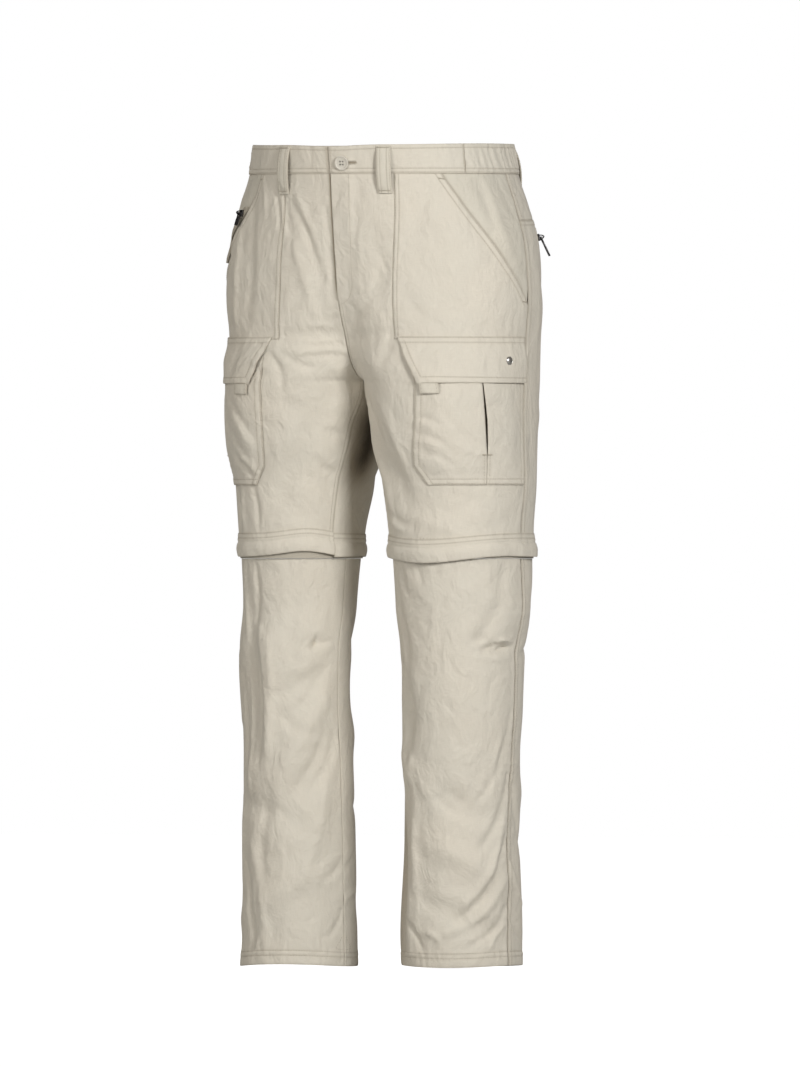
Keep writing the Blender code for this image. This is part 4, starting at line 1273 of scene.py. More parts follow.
def knee_sag(side: Side, way: Array) -> Array:
    """How far the seam above the knee hangs below or above its usual level."""
    way = np.asarray(way, float)
    if side is Side.LEFT:
        return -8.0 * bump(way, 0.40, 0.30) - 1.5 * bump(way, 1.5, 0.3)
    return 6.0 * bump(way, 0.17, 0.17) - 1.5 * bump(way, 1.55, 0.3)


def yoke_level(way: Array) -> Array:
    """Level of the yoke seam from the side seam to centre back."""
    return YOKE_SIDE + (YOKE_BACK - YOKE_SIDE) * ramp(np.asarray(way, float), 1.0, 2.0)


def fly_rise(way: Array, level: Array) -> Array:
    """The folded fly stands proud on the left front, out to its stitching."""
    across = 1 - ramp(way, FLY_WIDTH_WAY, FLY_WIDTH_WAY + 0.03)
    return FLY_RISE * across * ramp(level, FLY_BOTTOM - 4, FLY_BOTTOM + 8)


# Flat cut of each piece in metres, filled in as they are built: width, length, share of that rectangle
MEASURED: dict[str, tuple[float, float, float]] = {}


@dataclass
class CutPiece:
    """A piece that a maker cuts from cloth and sews on."""

    name: str
    half: Half
    way: Array
    level: Array
    seams: list[Seam] = field(default_factory=list)
    rise: Rise = field(default_factory=lambda: level_at(0.0))
    thick: Rise = field(default_factory=lambda: level_at(CLOTH_THICK))
    darker: Rise = field(default_factory=lambda: level_at(0.0))
    cells: Array | None = None
    hold: Hold = Hold.HUNG
    finish: ClothFinish = CLOTH
    hangs_from: tuple[str, ...] = ("waistband_left", "waistband_right")
    runs: list[list[Place]] = field(default_factory=list)
    sewing: Sewing = field(default_factory=Sewing)

    def relief(self, way: Array, level: Array) -> Array:
        """Height of the piece off the garment's form, with its seams."""
        height = self.rise(way, level)
        for seam in self.seams:
            height = height + seam.relief(way, level)
        return height

    def shell(self) -> Shell:
        """The piece's thin shell."""
        way, level = np.broadcast_arrays(self.way, self.level)
        plain = self.rise(way, level)
        relief = self.relief(way, level)
        thick = self.thick(way, level)
        inner = plain + 0.5 * np.minimum(relief - plain, 0.0) - thick
        shade = self.darker(way, level)
        for seam in self.seams:
            shade = np.maximum(shade, seam.shade(way, level))
        outer_points, inner_points = self.half.points(way, level, relief, inner)
        flat_place = np.stack([way * WAY_LENGTH, level], axis=-1)
        return Shell(outer_points, inner_points, flat_place, shade, self.cells)

    def lay_runs(self) -> None:
        """Lays every stitch line of the piece's seams and its own runs."""
        paths = [path for seam in self.seams for path in seam.runs()]
        paths += [np.array(run, float) for run in self.runs]
        for path in paths:
            way, level = fine_path(path)
            height = self.relief(way, level)
            points, above = self.half.points(way, level, height + 0.12, height + 1.12)
            self.sewing.along(points, above - points)

    def build(self) -> bpy.types.Object:
        """Builds the piece with its stitches, in place of its CAD node."""
        shell = self.shell()
        obj = dress(self.name + "_cloth", shell.mesh(self.name + "_cloth"), self.finish)
        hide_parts(self.name)
        self.lay_runs()
        stitches = self.sewing.make(self.name + "_stitches", SEWING)
        declare(obj, self.name, shell)
        return obj


def fine_path(path: Array) -> tuple[Array, Array]:
    """Ways and levels about 1 mm apart along a path of places."""
    steps = np.hypot(np.diff(path[:, 0]) * WAY_LENGTH, np.diff(path[:, 1]))
    run = np.concatenate([[0.0], np.cumsum(steps)])
    at = np.linspace(0, run[-1], max(2, int(run[-1])))
    return np.interp(at, run, path[:, 0]), np.interp(at, run, path[:, 1])


def along_run(at: Array, run: Array, points: Array) -> Array:
    """Points at some distances along a run of points in space."""
    return np.stack([np.interp(at, run, points[:, k]) for k in range(3)], -1)


def declare(obj: bpy.types.Object, name: str, shell: Shell) -> None:
    """Measures a piece of cloth's flat cut, keeps it in MEASURED and logs it.

    Args:
        obj: The piece.
        name: Its CAD node's name.
        shell: Its shell, which is measured and logged.
    """
    outer = shell.outer * MM
    cells = np.ones(np.array(outer.shape[:2]) - 1, bool) if shell.cells is None else shell.cells
    across = np.linalg.norm(np.diff(outer, axis=1), axis=-1)
    down = np.linalg.norm(np.diff(outer, axis=0), axis=-1)
    width = float((across[:-1] * cells).sum(axis=1).max())
    length = float((down[:, :-1] * cells).sum(axis=0).max())
    sides = np.cross(outer[1:, 1:] - outer[:-1, :-1], outer[1:, :-1] - outer[:-1, 1:])
    area = float((np.linalg.norm(sides, axis=-1) * cells).sum() / 2)
    MEASURED[name] = (round(width, 3), round(length, 3), round(area / (width * length), 3))
    LOG.info("%s: %d faces, flat cut %s", obj.name, len(obj.data.polygons), MEASURED[name])


TWIN = (1.1, 6.2)
FELLED = Edge(TWIN, rise=0.45, pucker=0.5, ladder=0.28)
PLAIN = Edge(dip=0.55, pucker=0.45)
TUCKED = Edge(dip=0.25)


def varied(edge: Edge, **changes: float | tuple[float, ...]) -> Edge:
    """An edge like another but for some sizes."""
    return Edge(**{**edge.__dict__, **changes})


@dataclass
class Hips:
    """Fronts, front side pieces, hip facings, backs and yokes of one side."""

    side: Side
    top: float = BAND_BOTTOM - 0.3

    def front(self) -> CutPiece:
        """The front: narrow above the flap seam, the whole front of the leg below it."""
        side = self.side
        upper = between(self.top, FLAP_SEAM + HALF_GAP, SPARSE, SPARSE)
        lower = between(FLAP_SEAM - HALF_GAP, KNEE_TOP, SPARSE, SPARSE)
        level = np.concatenate([upper, lower])[:, None]
        seam = princess(side)(level) - WAY_GAP
        inner = spread(0 * level + HALF_GAP, seam * WAY_LENGTH, NEAR, NEAR)
        outer = spread(seam * WAY_LENGTH, 0 * level + WAY_LENGTH - HALF_GAP, SPARSE, NEAR)
        way = np.concatenate([inner, outer[:, 1:]], axis=1) / WAY_LENGTH
        cells = np.ones((len(level) - 1, way.shape[1] - 1), bool)
        cells[: len(upper), inner.shape[1] - 1:] = False
        level = level + knee_sag(side, way) * np.clip(1 - (level - KNEE_TOP) / 70, 0, 1)
        left = side is Side.LEFT
        turned = Edge(dip=0.5) if left else Edge(dip=0.2)
        below = Edge(TWIN if left else (), rise=0.4 if left else 0.0, dip=0.7, pucker=0.55, seed=2.2)
        seams = [
            Seam(turned, along_way(WAY_GAP), True, 1, (FLY_BOTTOM, self.top)),
            Seam(below, along_way(WAY_GAP), True, 1, (CROTCH + 2, FLY_BOTTOM)),
            Seam(varied(FELLED, seed=4.0 + side.value, ladder=0.2), along_way(WAY_GAP), True, 1,
                 (KNEE_TOP, CROTCH)),
            Seam(varied(PLAIN, seed=1.0), princess(side), True, -1, (FLAP_SEAM, self.top)),
            Seam(varied(PLAIN, seed=6.0 + side.value, pucker=0.4), along_way(1 - WAY_GAP), True, -1,
                 (KNEE_TOP, FLAP_SEAM)),
            Seam(TUCKED, along_way(self.top), False, -1, (0.0, 0.4)),
        ]
        rise = fly_rise if left else level_at(0.0)
        piece = CutPiece(f"{side.word}_front", UPPER[side], way, level, seams, rise, cells=cells,
                         darker=self.pocket_shade if left else self.fly_shade)
        if left:
            piece.runs = self.fly_runs()
        return piece

    def thigh_shade(self, way: Array, level: Array) -> Array:
        """The backs of the thighs keep each other in the dark behind the inseam."""
        tall = ramp(-level, 236.0, 256.0) * (1 - ramp(-level, 370.0, 420.0))
        return 2.0 * tall * bump(2 - way, 0.11, 0.08)

    def pocket_shade(self, way: Array, level: Array) -> Array:
        """The leg behind the cargo pocket's slit and under its flap lies in the dark."""
        share = princess(self.side)(POCKET_TOP)
        slit = share + (1 - share) * PLEAT_SHARE
        across = bump((way - slit) * WAY_LENGTH, 0, 9.0)
        return 2.0 * across * ramp(level, -376, -366) * ramp(-level, 240, 262)

    def fly_shade(self, way: Array, level: Array) -> Array:
        """The right front lies in the shade of the fly's free edge."""
        fly = 1.5 * bump(way * WAY_LENGTH, 0.0, 3.8) * ramp(level, FLY_BOTTOM - 6, FLY_BOTTOM + 30)
        return self.pocket_shade(way, level) + fly

    def fly_runs(self) -> list[list[Place]]:
        """The fly's J-shaped stitching."""
        inset, corner = FLY_WIDTH_WAY - 0.008, 26.0
        curve = [(inset - (1 - math.cos(t)) * 0.115, FLY_BOTTOM + corner * (1 - math.sin(t)))
                 for t in np.linspace(0, math.pi / 2, 12)]
        return [[(inset, self.top), (inset, FLY_BOTTOM + corner), *curve, (0.004, FLY_BOTTOM)]]

    def front_side(self) -> CutPiece:
        """The front side piece, with the folded strip of the hand pocket's mouth."""
        side = self.side
        level = between(self.top, FLAP_SEAM + HALF_GAP, SPARSE, NEAR[:8])[:, None]
        start, end = princess(side)(level) + WAY_GAP, slant_way(side)(level) - WAY_GAP
        lean = np.where(level > SLANT_BOTTOM, 1.17, 1.0)
        way = spread(start * WAY_LENGTH, end * WAY_LENGTH, NEAR, NEAR, 1.0, lean) / WAY_LENGTH
        strip = Edge((1.2, 7.0), rise=0.55, width=7.8, dip=0.45)
        seams = [
            Seam(varied(FELLED, seed=3.0 + side.value), princess(side), True, 1, (FLAP_SEAM, self.top)),
            Seam(strip, slant_way(side), True, -1, (SLANT_BOTTOM, self.top)),
            Seam(varied(PLAIN, seed=9.0), along_way(1 - WAY_GAP), True, -1, (FLAP_SEAM, SLANT_BOTTOM - 1)),
            Seam(varied(PLAIN, dip=0.5, pucker=0.2, seed=5.0), along_way(FLAP_SEAM), False, 1, (0.35, 1.0)),
            Seam(TUCKED, along_way(self.top), False, -1, (0.3, 0.7)),
        ]
        piece = CutPiece(f"{side.word}_front_side", UPPER[side], way, level, seams)
        self.tacks(piece)
        return piece

    def tacks(self, piece: CutPiece) -> None:
        """Bar tacks at both ends of the hand pocket's mouth."""
        for level in (self.top - 6.0, SLANT_BOTTOM + 5.0):
            end = float(slant_way(self.side)(level)) - 0.002
            bar_tack(piece, (end - 0.03, level), (end, level - 1.0))

    def hip_facing(self) -> CutPiece:
        """The facing that shows behind the slanted mouth."""
        mouth_way, bottom = slant_way(self.side), SLANT_BOTTOM + 1.5
        level = between(self.top, bottom, SPARSE, SPARSE, 4.0)[:, None]
        start, end = mouth_way(level) + WAY_GAP, 1 - WAY_GAP + 0 * level
        way = spread(start * WAY_LENGTH, end * WAY_LENGTH, SPARSE, NEAR, 1.17) / WAY_LENGTH

        def sunk(way: Array, level: Array) -> Array:
            """The facing lies a little behind the mouth's folded edge."""
            return -1.2 * (1 - ramp((way - mouth_way(level)) * WAY_LENGTH, 0.0, 14.0))

        def shade(way: Array, level: Array) -> Array:
            """The facing is in the dark just behind the edge."""
            return 0.6 * bump((way - mouth_way(level)) * WAY_LENGTH, 0, 2.0)

        seams = [
            Seam(Edge(dip=0.3), mouth_way, True, 1, (bottom, self.top)),
            Seam(varied(PLAIN, seed=7.0, pucker=0.35), along_way(1 - WAY_GAP), True, -1,
                 (bottom, self.top)),
            Seam(TUCKED, along_way(self.top), False, -1, (0.6, 1.0)),
        ]
        return CutPiece(f"{self.side.word}_hip_facing", UPPER[self.side], way, level, seams, sunk,
                        darker=shade, finish=FACING)

    def back_ways(self, rows: int) -> Array:
        """Ways of the back's lines, the same at each of some levels."""
        start = np.full((rows, 1), WAY_LENGTH + HALF_GAP)
        return spread(start, start + WAY_LENGTH - 2 * HALF_GAP, NEAR, NEAR) / WAY_LENGTH

    def back(self) -> CutPiece:
        """The back, from the yoke seam to the knee."""
        side = self.side
        level = between(YOKE_SIDE, KNEE_TOP, NEAR, SPARSE)[:, None]
        way = self.back_ways(len(level))
        follow = np.clip(1 - (YOKE_SIDE - level) / 60, 0, 1)
        sag = knee_sag(side, way) * np.clip(1 - (level - KNEE_TOP) / 70, 0, 1)
        level = level + (yoke_level(way) - HALF_GAP - YOKE_SIDE) * follow + sag
        rise_stitches = TWIN if side is Side.LEFT else ()
        seams = [
            Seam(varied(FELLED, pucker=0.4, ladder=0.22, seed=8.0 + side.value), along_way(1 + WAY_GAP),
                 True, 1, (KNEE_TOP, YOKE_SIDE)),
            Seam(varied(FELLED, seed=2.0), shifted(yoke_level, -HALF_GAP), False, -1, (1.0, 2.0)),
            Seam(Edge(rise_stitches, dip=0.6, pucker=0.4, seed=3.3), along_way(2 - WAY_GAP),
                 True, -1, (CROTCH, YOKE_BACK)),
            Seam(varied(PLAIN, seed=1.4, pucker=0.35), along_way(2 - WAY_GAP), True, -1, (KNEE_TOP, CROTCH)),
        ]
        return CutPiece(f"{side.word}_back", UPPER[side], way, level, seams, darker=self.thigh_shade,
                        hangs_from=(f"{side.word}_back_yoke",))

    def yoke(self) -> CutPiece:
        """The back yoke under the waistband."""
        share = (self.top - between(self.top, YOKE_SIDE, SPARSE, SPARSE)[:, None]) / (self.top - YOKE_SIDE)
        way = self.back_ways(len(share))
        level = self.top + (yoke_level(way) + HALF_GAP - self.top) * share
        seams = [
            Seam(varied(FELLED, seed=5.5), along_way(1 + WAY_GAP), True, 1, (YOKE_SIDE, self.top)),
            Seam(varied(PLAIN, seed=2.5), shifted(yoke_level, HALF_GAP), False, 1, (1.0, 2.0)),
            Seam(Edge(dip=0.5), along_way(2 - WAY_GAP), True, -1, (YOKE_BACK, self.top)),
            Seam(TUCKED, along_way(self.top), False, -1, (1.0, 2.0)),
        ]
        return CutPiece(f"{self.side.word}_back_yoke", UPPER[self.side], way, level, seams,
                        hangs_from=("waistband_back",))

    def build(self) -> None:
        """Builds this side's pieces above the knee."""
        for piece in (self.front(), self.front_side(), self.hip_facing(), self.back(), self.yoke()):
            piece.build()


def bar_tack(piece: CutPiece, start: Place, end: Place, width: float = 1.8, turns: int = 9) -> None:
    """A bar tack: close zigzag stitches between two places.

    Args:
        piece: The piece that it is sewn on.
        start: The place where it starts.
        end: The place where it ends.
        width: Its width in mm.
        turns: How many stitches it has.
    """
    share = np.linspace(0, 1, turns)
    way = start[0] + (end[0] - start[0]) * share
    level = start[1] + (end[1] - start[1]) * share
    along = np.array([(end[0] - start[0]) * WAY_LENGTH, end[1] - start[1]])
    across = np.array([-along[1], along[0]]) / np.hypot(*along)
    places = [(way + sense * across[0] * width / 2 / WAY_LENGTH, level + sense * across[1] * width / 2)
              for sense in (-1, 1)]
    ends = [piece.half.points(*place, *(piece.relief(*place) + lift for lift in (0.3, 1.3)))
            for place in places]
    for k in range(turns - 1):
        piece.sewing.bar(ends[0][0][k], ends[1][0][k], ends[0][1][k] - ends[0][0][k])
        piece.sewing.bar(ends[1][0][k], ends[0][0][k + 1], ends[1][1][k] - ends[1][0][k])


# Wrinkles of the pocket's own cloth, in the columns of the garment's creases
POCKET_CREASES = {
    Side.LEFT: (
        (0.43, -322, 0.53, -331, 4.0, -1.0, -3), (0.43, -330, 0.50, -333, 4.0, 0.8, -2),
        (0.43, -343, 0.55, -355, 4.5, -1.0, -3), (0.44, -352, 0.53, -360, 4.0, 0.8, -2),
        (0.45, -366, 0.56, -379, 4.5, -1.2, -3), (0.56, -316, 0.70, -360, 5.0, -0.9, 4),
        (0.52, -345, 0.71, -368, 5.5, 0.8, 3), (0.76, -362, 0.82, -345, 4.0, -0.8, 2),
        (0.78, -374, 0.84, -386, 4.0, -0.7, 2), (0.62, -290, 0.60, -330, 9.0, 0.8, 3),
    ),
    Side.RIGHT: (
        (0.62, -300, 0.49, -345, 4.5, -1.4, 3), (0.60, -318, 0.47, -362, 5.0, 1.2, 3),
        (0.66, -330, 0.50, -380, 5.0, -1.2, 4), (0.60, -368, 0.49, -394, 4.5, -1.6, 2),
        (0.56, -372, 0.47, -388, 4.0, 1.2, 2), (0.72, -300, 0.70, -380, 8.0, 1.2, 3),
    ),
}
FLAP_CREASES = {
    Side.LEFT: ((0.50, -236, 0.54, -262, 6.0, -0.6, 3), (0.78, -232, 0.80, -268, 8.0, 0.5, 2)),
    Side.RIGHT: ((0.60, -232, 0.62, -274, 5.0, -1.0, 2), (0.70, -230, 0.68, -276, 6.0, 0.9, 2)),
}


@dataclass
class CargoPocket:
    """A cargo pocket: two halves either side of its centre pleat, a flap and a pull tab."""

    side: Side
    swell: float = POCKET_SWELL
    tucked: float = 17.0

    @property
    def pleat(self) -> float:
        """The pleat's way."""
        start = float(princess(self.side)(POCKET_TOP))
        return start + (1 - start) * PLEAT_SHARE

    def slit(self, level: Array) -> Array:
        """Half width of the pleat's open slit, as a share of a way."""
        width = np.interp(-np.asarray(level, float), [250, 284, 326, 350, 366, 372, 406],
                          [0.5, 0.55, 1.45, 1.0, 0.5, HALF_GAP, HALF_GAP])
        return width / WAY_LENGTH

    def front_edge(self, level: Array) -> Array:
        """The pocket's front edge, cut off at its lower corner."""
        return np.interp(-np.asarray(level, float), POCKET_FRONT_DEPTHS, POCKET_FRONTS[self.side])

    def rise(self, way: Array, level: Array) -> Array:
        """The pocket lies flat at its stitched edges and swells between them.

        Args:
            way: Ways of the places.
            level: Their levels.

        Returns:
            Heights off the garment's form in mm.
        """
        before = (way - self.front_edge(level)) * WAY_LENGTH
        behind = (POCKET_BACK - way) * WAY_LENGTH
        from_edge = np.minimum(np.minimum(before, behind), level - POCKET_BOTTOM)
        full = ramp(from_edge, 3.0, 30.0) * (0.55 + 0.45 * ramp(level, POCKET_BOTTOM, POCKET_CHAMFER))
        pinch = 1 - 0.45 * bump(way, self.pleat, 0.05) * ramp(-level, 362, 376)
        return LAY_GAP + WALL + self.swell * full * pinch + crease_rise(POCKET_CREASES[self.side], way, level)

    def halves(self) -> list[CutPiece]:
        """The fore and aft halves of the pocket."""
        level = between(POCKET_TOP, POCKET_BOTTOM, SPARSE, NEAR, 3.0)[:, None]
        front, back = self.front_edge(level), POCKET_BACK + 0.0 * level
        middle, slit = self.pleat, self.slit(level)
        lean = np.where(level > POCKET_CHAMFER, 1.0, 1.15)
        columns = {
            "fore": spread(front * WAY_LENGTH, (middle - slit) * WAY_LENGTH, NEAR, NEAR[:6], lean, 1.0, 3.0),
            "aft": spread((middle + slit) * WAY_LENGTH, back * WAY_LENGTH, NEAR[:6], NEAR, 1.0, 1.0, 3.0),
        }
        sewn = Edge((1.1, 7.2), rise=0.5, width=8.6, dip=0.5, pucker=0.45, pitch=8.0, ladder=0.3)
        closed = Edge((3.4,), dip=0.3, pucker=0.4, pitch=6)
        open_slit, tacked = (-366.0, POCKET_TOP), (POCKET_BOTTOM, -368.0)

        def before(at: Array) -> Array:
            """The fore half's edge of the pleat's slit."""
            return middle - self.slit(at)

        def behind(at: Array) -> Array:
            """The aft half's edge of the pleat's slit."""
            return middle + self.slit(at)

        seams = {
            "fore": [Seam(varied(sewn, seed=1.0), self.front_edge, True, 1, (POCKET_BOTTOM, POCKET_TOP)),
                     Seam(varied(sewn, seed=2.0, pucker=0.25), along_way(POCKET_BOTTOM), False, 1,
                          (0.46, middle)),
                     Seam(Edge(dip=0.6), before, True, -1, open_slit),
                     Seam(varied(closed, seed=4.0), before, True, -1, tacked)],
            "aft": [Seam(varied(sewn, seed=3.0, pucker=0.2, ladder=0.1), along_way(POCKET_BACK), True, -1,
                         (POCKET_BOTTOM, POCKET_TOP)),
                    Seam(varied(sewn, seed=5.0, pucker=0.2), along_way(POCKET_BOTTOM), False, 1,
                         (middle, POCKET_BACK)),
                    Seam(Edge(dip=0.6), behind, True, 1, open_slit),
                    Seam(varied(closed, seed=6.0), behind, True, 1, tacked)],
        }
        found = []
        for part, way in columns.items():
            corner = np.exp(-(((way / WAY_LENGTH - front) / 0.05) ** 2))
            corner = corner * np.clip(1 - (POCKET_TOP - level) / 16, 0, 1)
            found.append(CutPiece(f"{self.side.word}_cargo_{part}", UPPER[self.side], way / WAY_LENGTH,
                                  level + self.tucked * corner, seams[part], self.rise,
                                  darker=self.mouth_shade, hangs_from=(f"{self.side.word}_front",)))
        bar_tack(found[0], (middle - 0.026, -368.5), (middle - 0.001, -368.5))
        bar_tack(found[1], (middle + 0.001, -368.5), (middle + 0.024, -368.5))
        return found

    def mouth_shade(self, way: Array, level: Array) -> Array:
        """The pocket's mouth is in the dark under its flap."""
        behind = ramp((way - self.flap_edge(level)) * WAY_LENGTH, 0.0, 3.0)
        return 1.2 * ramp(level, FLAP_BOTTOM - 0.5, FLAP_BOTTOM + 3.0) * behind

    def flap_edge(self, level: Array) -> Array:
        """The flap's slanted front edge."""
        top, bottom = FLAP_FRONTS[self.side]
        down = (FLAP_TOP - np.asarray(level, float)) / (FLAP_TOP - FLAP_BOTTOM)
        return top + (bottom - top) * np.clip(down, -0.1, 1.1)

    def flap_rise(self, way: Array, level: Array) -> Array:
        """The flap clears the pocket's swell and lifts in soft waves at its free edge."""
        lift = LAY_GAP + WALL + ramp(-level, 224.0, 255.0) * FLAP_LIFT
        waves = 0.9 * np.sin(way * 22.0 + 1.1 + self.side.value) * ramp(-level, 250.0, 279.0)
        return lift + waves + crease_rise(FLAP_CREASES[self.side], way, level)

    def flap(self) -> CutPiece:
        """The flap, sewn on with two rows and topstitched along its edges."""
        level = between(FLAP_TOP, FLAP_BOTTOM, NEAR, NEAR, 3.0)[:, None]
        start, end = self.flap_edge(level), POCKET_BACK + 0.0 * level
        way = spread(start * WAY_LENGTH, end * WAY_LENGTH, NEAR, NEAR, 1.08, 1.0, 3.0) / WAY_LENGTH
        edge = Edge((6.6,), rise=0.35, width=7.4, dip=0.6)
        seams = [
            Seam(Edge((1.3, 7.4), rise=0.4, width=8.4, dip=0.5, pucker=0.3, ladder=0.22, seed=2.0),
                 along_way(FLAP_TOP), False, -1, (self.flap_edge(FLAP_TOP) + 0.01, POCKET_BACK)),
            Seam(edge, self.flap_edge, True, 1, (FLAP_BOTTOM + 6.6, FLAP_TOP - 7)),
            Seam(edge, along_way(FLAP_BOTTOM), False, 1,
                 (float(self.flap_edge(FLAP_BOTTOM)) + 0.025, POCKET_BACK)),
            Seam(Edge((1.2,), dip=0.5), along_way(POCKET_BACK), True, -1, (FLAP_BOTTOM, FLAP_TOP)),
        ]
        return CutPiece(f"{self.side.word}_cargo_flap", UPPER[self.side], way, level, seams, self.flap_rise,
                        level_at(1.3), hold=Hold.FOLDED, hangs_from=(f"{self.side.word}_front_side",))

    def tab(self) -> CutPiece:
        """The short pull tab under the flap's front corner."""
        start = float(self.flap_edge(FLAP_BOTTOM)) + 0.005
        end = start + 0.075
        level = between(FLAP_BOTTOM - 0.3, TAB_BOTTOM, SPARSE, SPARSE, 2.0)[:, None]
        way = between(start * WAY_LENGTH, end * WAY_LENGTH, SPARSE, SPARSE, 2.0)[None] / WAY_LENGTH
        fold, span = Edge((2.2,), dip=0.5), (TAB_BOTTOM, FLAP_BOTTOM)
        seams = [Seam(Edge(dip=0.5), along_way(TAB_BOTTOM), False, 1, (start, end)),
                 Seam(fold, along_way(start), True, 1, span),
                 Seam(fold, along_way(end), True, -1, span)]
        return CutPiece(f"{self.side.word}_cargo_tab", UPPER[self.side], way, level, seams,
                        level_at(FLAP_LIFT + LAY_GAP + WALL + 0.6), level_at(1.3), hold=Hold.FOLDED,
                        finish=TRIM, hangs_from=(f"{self.side.word}_cargo_flap",))

    def build(self) -> None:
        """Builds the pocket's pieces."""
        for piece in (*self.halves(), self.flap(), self.tab()):
            piece.build()


@dataclass
class Knee:
    """The zip ring that a leg comes off at, and the band that covers it."""

    side: Side
    height: float = 29.0
    least: float = 1.2
    more: float = 1.4
    groove: float = 11.0

    def top(self, way: Array) -> Array:
        """Level of the band's upper edge."""
        return KNEE_BAND_TOP + knee_sag(self.side, way)

    def bottom(self, way: Array) -> Array:
        """Level of the band's lower edge."""
        return self.top(way) - self.height + 0.8 * np.sin(np.asarray(way, float) * 9.0 + self.side.value)

    def band_rise(self, way: Array, level: Array) -> Array:
        """The band lies flat at its seam, rolls out below it and gapes at its lower edge.

        Args:
            way: Ways of the places.
            level: Their levels.

        Returns:
            Heights off the garment's form in mm.
        """
        under = self.top(way) - level
        down = np.clip(under / self.height, 0, 1)
        lift = self.least + self.more * np.sin(way * 2 * math.pi * 1.5 + self.side.value) ** 2
        gape = bump(way, 1.06, 0.13) if self.side is Side.LEFT else bump(way, 0.0, 0.16) + bump(way, 2.0, 0.1)
        roll = 1.5 * bump(under, self.groove + 8.5, 6.5) - 1.1 * bump(under, self.groove, 1.7)
        close = 0.9 + (LAY_GAP + WALL - 0.9) * ramp(under, 4.0, 10.0)
        return close + lift * down + 2.6 * gape * down**2 + roll

    def ring_ways(self, step: float) -> Array:
        """Ways of the lines round the knee."""
        return between(HALF_GAP, 2 * WAY_LENGTH - HALF_GAP, NEAR, NEAR, step)[None] / WAY_LENGTH

    def band(self) -> CutPiece:
        """The covering band."""
        shares = np.array([0, 0.02, 0.035, 0.06, 0.11, 0.17, 0.2, 0.225, 0.28, 0.33, 0.365, 0.4, 0.45,
                           0.52, 0.6, 0.68, 0.76, 0.84, 0.91, 0.96, 0.985, 1.0])[:, None]
        way = self.ring_ways(STEP)
        level = self.top(way) + (self.bottom(way) - self.top(way)) * shares
        upper = Edge((1.1, 6.4), rise=0.25, dip=0.35, pucker=0.55, pitch=9.0, ladder=0.3,
                     seed=4.0 + self.side.value)
        join, join_span = Edge(dip=0.35), (BAND_JOIN_BOTTOM, KNEE_BAND_TOP)
        seams = [
            Seam(upper, self.top, False, -1, (0.0, 2.0)),
            Seam(Edge(dip=0.6, pucker=0.35, pitch=16.0, seed=1.0), self.bottom, False, 1, (0.0, 2.0)),
            Seam(join, along_way(WAY_GAP), True, 1, join_span),
            Seam(join, along_way(2 - WAY_GAP), True, -1, join_span),
            Seam(Edge((1.2,), dip=0.0), along_way(1.0), True, 1, (BAND_ROW_BOTTOM, KNEE_BAND_TOP)),
        ]
        return CutPiece(f"{self.side.word}_knee_band", UPPER[self.side], way, level, seams,
                        self.band_rise, level_at(1.2), hold=Hold.FOLDED, hangs_from=self.hangs_from())

    def zip_ring(self) -> CutPiece:
        """The ring of zip tape under the band."""
        level = np.linspace(KNEE_TOP - 0.3, KNEE_ZIP_BOTTOM, 14)[:, None]
        return CutPiece(f"{self.side.word}_knee_zip", UPPER[self.side], self.ring_ways(5.0), level, [],
                        self.ridge, level_at(1.0), finish=TAPE, hangs_from=self.hangs_from())

    def ridge(self, way: Array, level: Array) -> Array:
        """The tape's ridge along its teeth."""
        return 0.8 * bump(level, KNEE_TEETH, 2.2) + 0.0 * way

    def hangs_from(self) -> tuple[str, str]:
        """What the knee's pieces are sewn to."""
        return f"{self.side.word}_front", f"{self.side.word}_back"

    def build(self) -> None:
        """Builds the knee's pieces."""
        ring = self.zip_ring()
        ring.build()
        at = np.linspace(0.004, 1.996, 400)
        Coil(f"{self.side.word}_knee_zip_coil", UPPER[self.side], at, KNEE_TEETH + 0 * at, 1.1).build()
        self.band().build()


